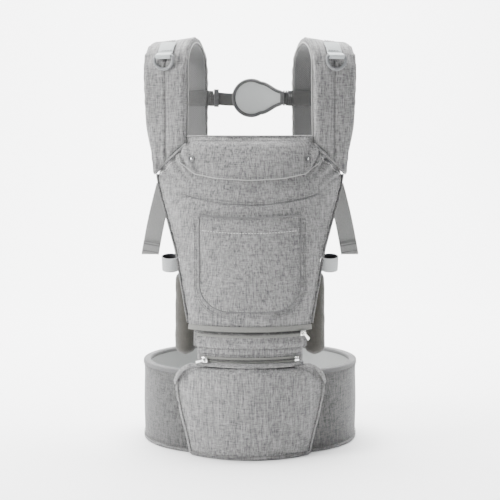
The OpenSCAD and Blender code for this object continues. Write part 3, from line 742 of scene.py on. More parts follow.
def panel_point(x, z, out=0.0):
    """A point on the panel's front, and out beyond it along its normal."""
    q = axial(x, z)
    r = CONE_R0 + CONE_K * q
    y = -math.sqrt(max(r * r - x * x, 1e-9))
    normal = Vector((x / r, y / r, -CONE_K)).normalized()
    local = Vector((x, y, q)) + normal * out
    c, s = math.cos(LEAN), math.sin(LEAN)
    return Vector((local.x, CONE_Y + c * local.y + s * local.z, CONE_Z - s * local.y + c * local.z))


def panel_normal(x, z):
    return (panel_point(x, z, 0.01) - panel_point(x, z)).normalized()


EDGE = [(PANEL_LOW.z, LOW_HALF), (PANEL_LOW.z + 0.075, LOW_HALF + 0.014),
        (PANEL_LOW.z + 0.122, PANEL_HALF - 0.032), (CORNER_Z - 0.032, PANEL_HALF - 0.006),
        (CORNER_Z, PANEL_HALF), (SEAM_Z, TOP_HALF), (PANEL_HIGH.z, TOP_HALF - 0.002)]


def smooth_step(a, b, x):
    t = min(max((x - a) / (b - a), 0), 1)
    return t * t * (3 - 2 * t)


def panel_half_at(z):
    """The panel's half width at a height, with its corners rounded as sewn fabric is."""
    total = weight = 0
    for step in range(-3, 4):
        at = min(max(z + step * 0.0025, EDGE[0][0]), EDGE[-1][0])
        for (z0, h0), (z1, h1) in zip(EDGE, EDGE[1:]):
            if at <= z1:
                break
        share = 4 - abs(step)
        total += (h0 + (h1 - h0) * (at - z0) / (z1 - z0)) * share
        weight += share
    return total / weight


def arc_point(radius, x, z):
    """A point in front of the riser's plan centre."""
    return Vector((x, RISER_Y - math.sqrt(max(radius * radius - x * x, 1e-9)), z))


def arc_normal(x, radius=RISER_R):
    return Vector((x / radius, -math.sqrt(max(1 - (x / radius) ** 2, 1e-9)), 0))


def panel_facing(path):
    """The panel's normal at each point of a path."""
    return lambda i: panel_normal(path[i].x, path[i].z)


def arc_facing(path):
    return lambda i: arc_normal(path[i].x)


def seat_point(x, z, out=0.0):
    """A point on the seat pod's front, swollen a little at mid height."""
    full = 0.0035 * math.sin(math.pi * min(max(z / SEAT_HIGH.z, 0), 1)) + out
    r = SEAT_R + full
    front = SEAT_LOW.y + SEAT_R - math.sqrt(max(r * r - x * x, 1e-9))
    return Vector((x, min(front, belt_front(x) - 0.0008 - max(out, 0)), z))


def seat_half_at(z):
    edge = [(0.0, 0.0875), (0.03, 0.0935), (0.06, 0.1010), (0.09, 0.1075), (0.107, 0.1093),
            (0.120, 0.1083), (0.132, 0.1010), (0.144, 0.0860)]
    for (z0, h0), (z1, h1) in zip(edge, edge[1:]):
        if z <= z1:
            return POD_WIDEN * (h0 + (h1 - h0) * (z - z0) / (z1 - z0))
    return POD_WIDEN * edge[-1][1]


def belt_oval(radius, z, count=96, gap=0.004):
    """The belt's closed oval as points from one end at the back round to the other."""
    straight = BELT_FLAT - gap
    turn = math.pi * radius
    length = 2 * straight + 2 * turn + 2 * BELT_FLAT
    points, normals = [], []
    for k in range(count + 1):
        s = length * k / count
        if s < straight:
            points.append((gap + s, radius))
            normals.append((0, 1))
        elif s < straight + turn:
            a = math.pi / 2 - (s - straight) / radius
            points.append((BELT_FLAT + radius * math.cos(a), radius * math.sin(a)))
            normals.append((math.cos(a), math.sin(a)))
        elif s < straight + turn + 2 * BELT_FLAT:
            points.append((BELT_FLAT - (s - straight - turn), -radius))
            normals.append((0, -1))
        elif s < straight + 2 * turn + 2 * BELT_FLAT:
            a = -math.pi / 2 - (s - straight - turn - 2 * BELT_FLAT) / radius
            points.append((-BELT_FLAT + radius * math.cos(a), radius * math.sin(a)))
            normals.append((math.cos(a), math.sin(a)))
        else:
            points.append((-BELT_FLAT + (s - straight - 2 * turn - 2 * BELT_FLAT), radius))
            normals.append((0, 1))
    return ([Vector((x, MID_Y + y, z)) for x, y in points], [Vector((x, y, 0)) for x, y in normals])


def shoulder_drop(w):
    """How much of the arch's height is left at a sideways place; the outer edge lies lower."""
    return 1 - 0.13 * np.clip((w + STRAP_HALF) / (2 * STRAP_HALF), 0, 1)


def tilted(w, z):
    return ARCH_Z + (z - ARCH_Z) * float(shoulder_drop(w)) if z > ARCH_Z else z


def strap_place(side, u, w, out):
    """A point on a strap: u runs along it from the front seam over the arch, w across, out away from
    its lining."""
    front = ARCH_Z - STRAP_FOOT
    turn = math.pi * STRAP_LEG
    flare = 0.0035 * smooth_step(0.03, front, u) - 0.0118 * (1 - smooth_step(0, 0.085, u))
    w += flare * max(w, 0) / STRAP_HALF * (1 - smooth_step(front + 0.3 * turn, front + turn, u))
    if u < front:
        local = Vector((w, -STRAP_LEG - out, STRAP_FOOT + u))
        normal = Vector((0, -1, 0))
    elif u < front + turn:
        a = (u - front) / STRAP_LEG
        normal = Vector((0, -math.cos(a), math.sin(a)))
        local = Vector((w, 0, ARCH_Z)) + normal * (STRAP_LEG + out)
        local.z = tilted(w, local.z)
    else:
        local = Vector((w, STRAP_LEG + out, ARCH_Z - (u - front - turn)))
        normal = Vector((0, 1, 0))
    c, s = math.cos(STRAP_TURN), math.sin(STRAP_TURN)
    point = Vector((c * local.x - s * local.y, s * local.x + c * local.y, local.z)) + STRAP_MID
    normal = Vector((c * normal.x - s * normal.y, s * normal.x + c * normal.y, normal.z))
    return Vector((side * point.x, point.y, point.z)), Vector((side * normal.x, normal.y, normal.z))


STRAP_FRONT = ARCH_Z - STRAP_FOOT
STRAP_LENGTH = STRAP_FRONT + math.pi * STRAP_LEG + ARCH_Z - BACK_END


def seam_u(w):
    """Where the strap starts above the slanting shoulder seam."""
    x = abs(strap_place(1, 0.02, w, 0)[0].x)
    slope = (SEAM_Z - CORNER_Z) / (PANEL_HALF - TOP_HALF)
    z = min(max(CORNER_Z + (PANEL_HALF - x) * slope, STRAP_FOOT), SEAM_Z + 0.008)
    return z - 0.0008 - STRAP_FOOT


def strap_run(w, t):
    """The run along a strap at a share t of the way from the shoulder seam to its back end."""
    start = seam_u(w)
    return start + (STRAP_LENGTH - start) * t


# ---------------------------------------------------------------- waist belt
class CARRIER_OT_belt(Operator):
    """The belt's stuffed pad, mesh lining and the tapes bound over both of its edges"""
    bl_idname = "carrier.belt"
    bl_label = "Waist belt"

    def execute(self, context):
        outer, normals = belt_oval(BELT_R - 0.0012, 0, 150)
        wall = 0.0098
        rings = []
        levels = np.linspace(BELT_LOW.z + 0.0005, BELT_HIGH.z - 0.0005, 16)
        for p, n in zip(outer, normals):
            front = [Vector((p.x, p.y, z)) for z in levels]
            back = [Vector((p.x - n.x * wall, p.y - n.y * wall, z)) for z in reversed(levels)]
            rings.append(front + back)
        pad = outward(from_rings("belt_cover", rings))
        ends = MID_Y + BELT_R - 0.03

        def held(points):
            near = np.minimum(points[:, 2] - BELT_LOW.z, BELT_HIGH.z - points[:, 2])
            keep = np.clip(near / 0.014, 0, 1) * (belt_depth(points) > -0.006)
            gap = np.clip((np.abs(points[:, 0]) - 0.004) / 0.012, 0, 1)
            front = np.where(points[:, 1] < ends, 1, gap)
            return keep * front * np.where(np.abs(points[:, 0]) < 0.1, np.where(
                points[:, 1] < MID_Y, 0.15, 1), 1)

        swell(pad, 0.0012, fixed=held)
        points = coords(pad)
        bow = np.sin(np.pi * np.clip((points[:, 2] - BELT_LOW.z) / (BELT_HIGH.z - BELT_LOW.z), 0, 1))
        outer_side = belt_depth(points) > -0.005
        near_pod = np.exp(-((np.abs(points[:, 0]) - 0.112) / 0.028) ** 2) * (points[:, 1] < MID_Y)
        folds = np.sin(points[:, 2] * 260 + np.abs(points[:, 0]) * 190 + 2 * np.sin(points[:, 2] * 60))
        relief(pad, lambda p, n: np.where(outer_side, 1, 0) * bow * (
            0.0009 + 0.0005 * np.sin(p[:, 0] * 71 + p[:, 1] * 53 + p[:, 2] * 31)
            + 0.0013 * folds * near_pod))
        set_thread(pad, [belt_thread(p) for p in coords(pad)])
        # The belt's cover takes the darker copy of the linen as painted shade.
        finish_piece(pad, "belt", "heather_fabric", "heather_belt_shaded", nodes=["belt_pad"])

        inner, normals = belt_oval(BELT_R - 0.0110, 0, 120)
        rings = []
        for p, n in zip(inner, normals):
            face = [Vector((p.x - n.x * (0.0012 if 3 < k < 12 else 0.0006), p.y - n.y * 0.0012, z))
                    for k, z in enumerate(np.linspace(BELT_LOW.z, BELT_HIGH.z, 16))]
            under = [Vector((q.x + n.x * 0.0008, q.y + n.y * 0.0008, q.z)) for q in reversed(face)]
            rings.append(face + under)
        lining = outward(from_rings("belt_mesh_lining", rings))
        set_thread(lining, [belt_thread(p) for p in coords(lining)])
        finish_piece(lining, "belt", "light_mesh", "belt_mesh", nodes=["belt_lining"])

        # Both tapes stand for the linen folded over the belt's rims: the top one in the dark binding
        # colour and the bottom one in the darker linen, as painted shade.
        for name, z0, z1, node_name in (
                ("belt_top_tape", BELT_HIGH.z - 0.0032, BELT_TOP, "belt_binding_top"),
                ("belt_bottom_tape", BELT_LOW.z + 0.0015, 0.0, "belt_binding_bottom")):
            middle, normals = belt_oval(BELT_R - BELT_WALL / 2, (z0 + z1) / 2, 130)
            height, half = abs(z1 - z0) / 2, BELT_WALL / 2
            profile = [(height * math.copysign(abs(math.sin(a)) ** 0.55, math.sin(a)),
                        half * math.copysign(abs(math.cos(a)) ** 0.45, math.cos(a)))
                       for a in full_turn(16)]
            swept(name, middle, lambda i: normals[i], profile, "belt", "dark_binding",
                  "binding" if "top" in name else "heather_dark", nodes=[node_name], angle=80)
        for name, z in (("belt_top_stitching", BELT_HIGH.z - 0.0035), ("belt_bottom_stitching",
                                                                       BELT_LOW.z + 0.0035)):
            row, normals = belt_oval(BELT_R - 0.0003, z, 260)
            stitches(name, row, lambda i: normals[i], "dark_thread_and_shade_line", "belt", "heather_fabric")
        return {"FINISHED"}


def belt_depth(points):
    """How far points lie outside the belt's cover, negative within its thickness."""
    x, y = points[:, 0], points[:, 1] - MID_Y
    return np.hypot(np.clip(np.abs(x) - BELT_FLAT, 0, None), y) - BELT_R


def belt_thread(p):
    """Arc length round the belt as the cross thread, height as the long one."""
    x, y = p[0], p[1] - MID_Y
    if abs(x) <= BELT_FLAT:
        run = x if y < 0 else math.copysign(BELT_FLAT * 2 + math.pi * BELT_R, x) - x
    else:
        a = math.atan2(abs(x) - BELT_FLAT, -y)
        run = math.copysign(BELT_FLAT + a * BELT_R, x)
    return (run, math.hypot(max(abs(x) - BELT_FLAT, 0), y) - BELT_R, p[2])


class CARRIER_OT_rear_closure(Operator):
    """The hook-and-loop tab that closes the belt at the back, its webbing and its buckle"""
    bl_idname = "carrier.rear_closure"
    bl_label = "Rear closure"

    def execute(self, context):
        a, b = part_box("closure_flap")
        tab = grid("closure_tab", 40, 40, lambda u, v: Vector((
            between(a.x, b.x, u * (1 - 0.06 * smooth_step(0.75, 1, abs(v)))),
            b.y - 0.0016 + 0.0009 * (1 - u ** 6) * (1 - v ** 6),
            between(a.z, b.z, v * (1 - 0.05 * smooth_step(0.8, 1, abs(u)))))))
        thicken(tab, 0.0016)
        finish_piece(tab, "belt", "loop_fabric", "heather", nodes=["closure_flap"])
        frame_line = [Vector((a.x + 0.006 + (b.x - a.x - 0.012) * s, b.y - 0.0001,
                              a.z + 0.006 + (b.z - a.z - 0.012) * t))
                      for s, t in [(k / 20, 0) for k in range(20)] + [(1, k / 20) for k in range(20)]
                      + [(1 - k / 20, 1) for k in range(20)] + [(0, 1 - k / 20) for k in range(21)]]
        stitches("closure_tab_stitching", frame_line, (0, 1, 0), "dark_thread_and_shade_line", "belt", "loop_fabric")
        a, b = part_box("closure_hook")
        hook = grid("closure_hooks", 46, 60, lambda u, v: Vector((
            between(a.x, b.x, u), (a.y + b.y) / 2, between(a.z, b.z, v))))
        relief(hook, lambda p, n: 0.00016 * (np.sin(p[:, 0] * 4200) * np.sin(p[:, 2] * 4200)))
        thicken(hook, 0.0007)
        finish_piece(hook, "belt", "hook_tape", "hook", nodes=["closure_hook"])

        level, out_r = mid_z("waist_webbing"), BELT_R + 0.0038
        for side, word in SIDES:
            reach = [(side * (BELT_FLAT + out_r * math.sin(t)), MID_Y + out_r * math.cos(t))
                     for t in np.linspace(math.radians(49), 0, 26)]
            inner_x = low("waist_female").x + 0.004 if side < 0 else high("waist_male").x - 0.004
            reach += [(x, MID_Y + out_r) for x in np.linspace(side * BELT_FLAT, inner_x, 10)[1:]]
            reach += [(inner_x - side * 0.0015, MID_Y + out_r + 0.0018),
                      (inner_x - side * 0.0005, MID_Y + out_r + 0.0052)]
            path = [Vector((x, y, level)) for x, y in reach]
            outs = [Vector((p.x - math.copysign(min(abs(p.x), BELT_FLAT), p.x), p.y - MID_Y, 0))
                    .normalized() for p in path]
            swept(f"waist_webbing_{word}", path, lambda i: outs[i], strip_profile(0.0248, 0.0015),
                  "belt", "grey_webbing", "webbing", nodes=["waist_webbing"])
        make_buckle("waist", "belt", 1)
        return {"FINISHED"}


def make_buckle(prefix, body, facing):
    """A side-release buckle: a bevelled frame with a ribbed face, and a pronged plug."""
    for part in (f"{prefix}_female", f"{prefix}_male"):
        shell = clone_node(part, f"{prefix}_{'socket' if part.endswith('female') else 'plug'}")
        bevel(shell, 0.0009, 35)
        finish_piece(shell, body, "buckle_plastic", "plastic", angle=50, nodes=[part])
        a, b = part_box(part)
        if part.endswith("female"):
            x0, y = a.x + 0.007, b.y if facing > 0 else a.y
            for k in range(3):
                rib_path = [Vector((x0 + 0.0022 * k, y, z)) for z in
                            np.linspace(a.z + 0.009, b.z - 0.009, 8)]
                swept(f"{prefix}_grip_{k}", rib_path, (0, facing, 0), round_profile(0.0006, 8), body,
                      "buckle_plastic", "plastic")
    for end in ("upper", "lower"):
        part = f"{prefix}_prong_{end}"
        prong = clone_node(part, f"{prefix}_{end}_prong")
        bevel(prong, 0.0008, 35)
        finish_piece(prong, part, "buckle_plastic", "plastic", angle=50, nodes=[part])


def clone_node(node_name, name):
    """A copy of a CAD node's own mesh, at the origin."""
    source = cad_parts[node_name]
    data = source.data.copy()
    data.name = name
    obj = bpy.data.objects.new(name, data)
    bpy.context.scene.collection.objects.link(obj)
    outward(obj)
    activate(obj)
    bpy.ops.object.mode_set(mode="EDIT")
    bpy.ops.mesh.select_all(action="SELECT")
    bpy.ops.mesh.dissolve_limited(angle_limit=math.radians(1))
    bpy.ops.object.mode_set(mode="OBJECT")
    return obj


# ---------------------------------------------------------------- hip seat
BAND_INNER = [(0.0640, 0.1432), (0.0800, 0.1410), (0.0925, 0.1335), (0.1020, 0.1215), (0.1075, 0.1065)]
BAND_STITCHING = [(0.0700, 0.1395), (0.0800, 0.1350), (0.0905, 0.1270), (0.0985, 0.1150)]
BAND_OUTER = [(0.0780, 0.1438), (0.0890, 0.1425), (0.0990, 0.1345), (0.1065, 0.1240), (0.1100, 0.1120)]


class CARRIER_OT_seat(Operator):
    """The hip seat's stuffed fabric pocket over its foam block, its side openings and top"""
    bl_idname = "carrier.seat"
    bl_label = "Hip seat"

    def execute(self, context):
        def front(u, v):
            z = SEAT_HIGH.z / 2 * (1 + v)
            return seat_point(seat_half_at(z) * u, z, -0.0015)
        pod = grid("seat_cover", 60, 44, front)
        back = grid("seat_back", 60, 44, front)
        depth = []
        for p in coords(back):
            y_belt = belt_front(p[0]) - 0.0015
            depth.append((p[0], max(y_belt, p[1] + 0.004), p[2]))
        set_coords(back, depth)
        join_shell(pod, back)
        swell(pod, 0.0030, pressure=5.0, fixed=lambda q: np.clip(q[:, 2] / 0.02, 0, 1)
              * np.where(q[:, 1] > MID_Y - BELT_R - 0.004, 0, 1))
        keep_ahead(pod)
        finish_piece(pod, "belt", "heather_fabric", "heather", nodes=["seat_pocket", "seat_foam"])

        for side, word in SIDES:
            inner = smooth_path([(x * POD_WIDEN, 0, z) for x, z in BAND_INNER], 30)
            outer = smooth_path([(x * POD_WIDEN, 0, z) for x, z in BAND_OUTER], 30)

            def band_at(u, v):
                i = min(int(round((u + 1) / 2 * 29)), 29)
                p = inner[i].lerp(outer[i], (v + 1) / 2)
                lift = 0.0020 + 0.0024 * smooth_step(0.3, 1, (u + 1) / 2) * (1 - v) / 2
                return seat_point(side * p.x, p.z, lift + 0.0008 * (1 - v * v))
            band = grid(f"pocket_band_{word}", 29, 8, band_at)
            thicken(band, 0.0013)
            finish_piece(band, "belt", "heather_fabric", "heather", nodes=on_right(side, "seat_flap"))
            # The lip along the band's inner edge is in the darker linen: painted shade.
            line = [seat_point(side * p.x, p.z, 0.0024 + 0.0024 * smooth_step(0.3, 1, i / 29))
                    for i, p in enumerate(inner)]
            swept(f"pocket_lip_{word}", line, Vector((side * 0.6, -0.8, 0)),
                  round_profile(0.0009, 8), "belt", "heather_fabric", "heather_dark")
            # A strip of dark hook-tape mesh just under the band's lip: painted shadow in the pocket's
            # opening.
            swept(f"pocket_mouth_{word}",
                  [seat_point(side * (p.x + 0.0022), p.z - 0.0004, 0.0009) for p in inner[12:30]],
                  Vector((side * 0.7, -0.7, 0)), strip_profile(0.0040, 0.0008), "belt",
                  "bolster_fabric", "hook")
            for tag, shift in (("a", 0.0), ("b", 0.0022)):
                line = smooth_path([seat_point(side * (x * POD_WIDEN - shift), z, 0.0004)
                                    for x, z in BAND_STITCHING], 20)
                stitches(f"pocket_stitching_{word}_{tag}", line, Vector((side * 0.68, -0.73, 0)),
                         "dark_thread_and_shade_line", "belt", "heather_fabric")
            # The side seams are in the darker linen: painted shade in the seams.
            side_line = [seat_point(side * (seat_half_at(z) - 0.0045), z, 0.0003)
                         for z in np.linspace(0.006, 0.104, 30)]
            swept(f"seat_side_seam_{word}", side_line, Vector((side * 0.8, -0.6, 0)),
                  round_profile(0.0009, 8), "belt", "heather_fabric", "heather_dark")

        # The bottom tape is in the darker linen: painted shade along the pod's foot.
        hem = [seat_point(x, 0.0035, -0.0002) for x in np.linspace(-0.091, 0.091, 60)]
        outs = [Vector((p.x, p.y - SEAT_LOW.y - SEAT_R, 0)).normalized() for p in hem]
        swept("seat_bottom_tape", hem, lambda i: outs[i], strip_profile(0.0062, 0.0016), "belt",
              "dark_binding", "heather_dark")

        def roll_at(u, v):
            t = (v + 1) / 2
            x = 0.0795 * u
            front, back = seat_point(x, 0.1436, -0.0006), arc_point(0.1512, x * 0.985, 0.1486)
            return front.lerp(back, t) + Vector((0, 0, 0.0013 * math.sin(math.pi * t)))
        roll = grid("seat_front_roll", 60, 8, roll_at)
        thicken(roll, 0.0010)
        finish_piece(roll, "belt", "heather_fabric", "heather")
        b = high("seat_top")
        top = grid("seat_grip_top", 50, 16, lambda u, v: Vector((
            u * (b.x - 0.0015), seat_rim(u * (b.x - 0.0015), v), b.z - 0.0022 + 0.0008 * (1 - u ** 4))))
        thicken(top, 0.0024)
        finish_piece(top, "belt", "grip_fabric", "grip", nodes=["seat_top"])
        return {"FINISHED"}


def seat_rim(x, v):
    front = SEAT_LOW.y + SEAT_R - math.sqrt((SEAT_R - 0.005) ** 2 - x * x)
    back = max(belt_front(x) + 0.004, front + 0.002)
    back = min(back, MID_Y - BELT_R + 0.018)
    return front + (back - front) * (v + 1) / 2


def belt_front(x):
    """The belt's front surface in y at a sideways place."""
    over = max(abs(x) - BELT_FLAT, 0)
    return MID_Y - math.sqrt(max(BELT_R ** 2 - over ** 2, 1e-9))


def keep_ahead(obj):
    """Keeps a piece's points in front of the belt's cover and above the floor."""
    points = coords(obj)
    for p in points:
        p[1] = min(p[1], belt_front(p[0]) - 0.0006)
        p[2] = min(max(p[2], 0.0), SEAT_HIGH.z)
    set_coords(obj, points)


def smooth_path(points, count):
    """Evenly spaced points on a curve through the given ones."""
    points = [Vector(p) for p in points]
    run = along_path(points)
    out = []
    for s in np.linspace(0, run[-1], count):
        i = min(max(int(np.searchsorted(run, s)), 1), len(points) - 1)
        t = (s - run[i - 1]) / max(run[i] - run[i - 1], 1e-9)
        p0, p1 = points[max(i - 2, 0)], points[i - 1]
        p2, p3 = points[i], points[min(i + 1, len(points) - 1)]
        out.append(0.5 * (2 * p1 + (p2 - p0) * t + (2 * p0 - 5 * p1 + 4 * p2 - p3) * t * t
                          + (3 * p1 - p0 - 3 * p2 + p3) * t ** 3))
    return out


def join_shell(front, back):
    """Closes two equal grids into one shell along their edges."""
    activate(front)
    back.select_set(True)
    bpy.ops.object.join()
    obj = bpy.context.object
    bpy.ops.object.mode_set(mode="EDIT")
    bpy.ops.mesh.select_all(action="DESELECT")
    bpy.ops.mesh.select_mode(type="EDGE")
    bpy.ops.mesh.select_non_manifold(extend=False, use_wire=False, use_multi_face=False,
                                     use_non_contiguous=False, use_verts=False)
    bpy.ops.mesh.bridge_edge_loops()
    bpy.ops.object.mode_set(mode="OBJECT")
    return outward(obj)


# ---------------------------------------------------------------- riser and zips
def arc_strip(name, radius, z, half, width, nodes=(), look="zip_tape", thick=0.0011):
    """A zip tape laid along its arc."""
    path = [arc_point(radius, x, z) for x in np.linspace(-half, half, 70)]
    swept(name, path, arc_facing(path), strip_profile(width, thick), "belt", "zip_tape", look,
          nodes=nodes)


def coil(name, z, half, node_name):
    """The zip's nylon coil: a flattened helix laid along its arc, and a cord along it, both dark partly
    as the coil's own colour and partly as painted shadow in the gap between the tapes.
    """
    turns = int(2 * half / 0.0021)
    path = []
    for k in range(turns * 9 + 1):
        t = k / 9
        x = -half + 2 * half * t / turns
        a = 2 * math.pi * t
        path.append(arc_point(COIL_R + 0.00075 * math.cos(a), x, z + 0.0013 * math.sin(a)))
    swept(name, path, arc_facing(path), round_profile(0.00042, 6), "belt", "zip_coil", "zip_coil",
          angle=80, nodes=[node_name])
    cord_path = [arc_point(0.1524, x, z) for x in np.linspace(-half, half, 60)]
    swept(f"{name}_cord", cord_path, arc_facing(cord_path), round_profile(0.0006, 8), "belt",
          "zip_coil", "zip_coil")


class CARRIER_OT_riser(Operator):
    """The padded riser between the two zips, the zip tapes, coils, sliders and pulls"""
    bl_idname = "carrier.riser"
    bl_label = "Riser and zips"

    def execute(self, context):
        a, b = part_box("riser")
        front = grid("riser_cover", 70, 24, lambda u, v: arc_point(
            RISER_R - 0.0004, u * (b.x - 0.0005), (a.z + b.z) / 2 + (b.z - a.z - 0.001) / 2 * v))
        back = grid("riser_back", 70, 24, lambda u, v: arc_point(
            RISER_R - 0.0058, u * (b.x - 0.0005), (a.z + b.z) / 2 + (b.z - a.z - 0.001) / 2 * v))
        join_shell(front, back)
        swell(front, 0.0009, fixed=lambda p: np.clip(
            np.minimum(p[:, 2] - 0.159, 0.187 - p[:, 2]) / 0.004, 0, 1))
        relief(front, lambda p, n: np.where(n[:, 1] < -0.2, 1, 0) * (
            0.0018 * np.exp(-((p[:, 2] - 0.1780) / 0.0050) ** 2)
            - 0.0012 * sum(np.exp(-((p[:, 2] - z) / 0.0011) ** 2) for _, z in RISER_ROWS)))
        finish_piece(front, "belt", "heather_fabric", "heather", nodes=["riser"])
        for tag, z in RISER_ROWS:
            row = [arc_point(RISER_R + 0.0001, x, z) for x in np.linspace(-0.080, 0.080, 80)]
            stitches(f"riser_stitching_{tag}", row, arc_facing(row), "dark_thread_and_shade_line",
                     "belt", "heather_fabric")
        low_z, up_z = mid_z("lower_zip_coil"), mid_z("upper_zip_coil")
        arc_strip("lower_zip_tape_top", ZIP_TAPE_R, low_z + 0.0030, 0.0760, 0.0042, ["lower_zip_tape"])
        arc_strip("lower_zip_tape_bottom", ZIP_TAPE_R, low_z - 0.0030, 0.0760, 0.0042)
        arc_strip("upper_zip_tape_bottom", ZIP_TAPE_R, up_z - 0.0030, 0.0818, 0.0046,
                  ["upper_zip_tape_low"])
        # A dark strip behind the upper zip's tapes: painted shadow in the gap under the panel.
        arc_strip("upper_zip_gap_shadow", 0.1488, up_z + 0.0010, 0.0850, 0.0120, look="zip_coil",
                  thick=0.0010)
        coil("lower_coil", low_z, 0.0695, "lower_zip_coil")
        coil("upper_coil", up_z, 0.0790, "upper_zip_coil")
        top = [panel_point(x, PANEL_LOW.z + 0.0040, 0.0012) for x in np.linspace(-0.0945, 0.0945, 80)]
        swept("upper_zip_band", top, lambda i: panel_normal(top[i].x, PANEL_LOW.z + 0.004),
              strip_profile(0.0080, 0.0014), "panel", "zip_tape", "zip_tape",
              nodes=["upper_zip_tape_high"])
        swept("lower_zip_stop",
              [arc_point(0.1533, 0.0716 + s, low_z) for s in (-0.0032, -0.0016, 0, 0.0016, 0.0032)],
              arc_normal(0.068), round_profile(0.0028, 12, wide=1.3, tall=0.5), "belt",
              "zip_metal", "zip_metal")
        # The zip gussets are in the darker linen: painted shade at the riser's ends.
        for side, word in SIDES:
            swept(f"zip_gusset_{word}",
                  [arc_point(RISER_R - 0.0012 * t, side * (0.0828 + 0.0012 * t), 0.1955 - 0.0240 * t)
                   for t in np.linspace(0, 1, 10)],
                  Vector((side * 0.55, -0.83, 0)), strip_profile(0.0085, 0.0012), "belt",
                  "heather_fabric", "heather_dark")
        for which in ("upper", "lower"):
            slider = clone_node(f"{which}_zip_slider", f"{which}_slider_body")
            bevel(slider, 0.0006, 40)
            finish_piece(slider, f"{which}_slider", "zip_metal", "zip_metal", angle=60,
                         nodes=[f"{which}_zip_slider"])
            pull = clone_node(f"{which}_zip_pull", f"{which}_slider_pull")
            points = coords(pull)
            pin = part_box(f"{which}_zip_slider")
            pin = np.array([(pin[0][k] + pin[1][k]) / 2 for k in range(3)])
            run = points.mean(axis=0) - pin
            run[1] = 0
            run /= np.linalg.norm(run)
            along = (points - pin) @ run
            side = np.array([run[2], 0, -run[0]])
            wide = (points - points.mean(axis=0)) @ side
            t = (along - along.min()) / np.ptp(along)
            points -= np.outer(wide * (0.20 * (1 - t) + 0.25 * (t > 0.97)), side)
            set_coords(pull, points)
            bevel(pull, 0.00035, 40, 2)
            finish_piece(pull, f"{which}_pull", "zip_metal", "zip_metal", angle=60,
                         nodes=[f"{which}_zip_pull"])
        return {"FINISHED"}


# ---------------------------------------------------------------- front panel
SHOULDER = (Vector((PANEL_HALF, 0, CORNER_Z)), Vector((TOP_HALF, 0, SEAM_Z)))


def seam_distance(x, z):
    """Distance from the shoulder seam, and the place along it from 0 at the corner to 1."""
    a, b = SHOULDER
    px, pz = np.abs(x) - a.x, z - a.z
    dx, dz = b.x - a.x, b.z - a.z
    size = math.hypot(dx, dz)
    along = (px * dx + pz * dz) / size ** 2
    away = np.abs(px * dz - pz * dx) / size
    return away, along


def cross_seam(x):
    """The height of the panel's curved cross seam."""
    return PANEL_LOW.z + 0.1913 + 0.014 * (x / 0.1) ** 2


def pleats(x, z):
    """Small gathers that run from the shoulder seams into the panel."""
    away, along = seam_distance(x, z)
    fan = along + 1.9 * (away / 0.1) * (along - 0.45)
    fade = np.exp(-(away / 0.034) ** 1.4) * np.clip((1.12 - np.abs(fan - 0.5) * 1.2), 0, 1)
    return np.sin(fan * 21.0 + 0.8 * np.sin(fan * 9)) * fade


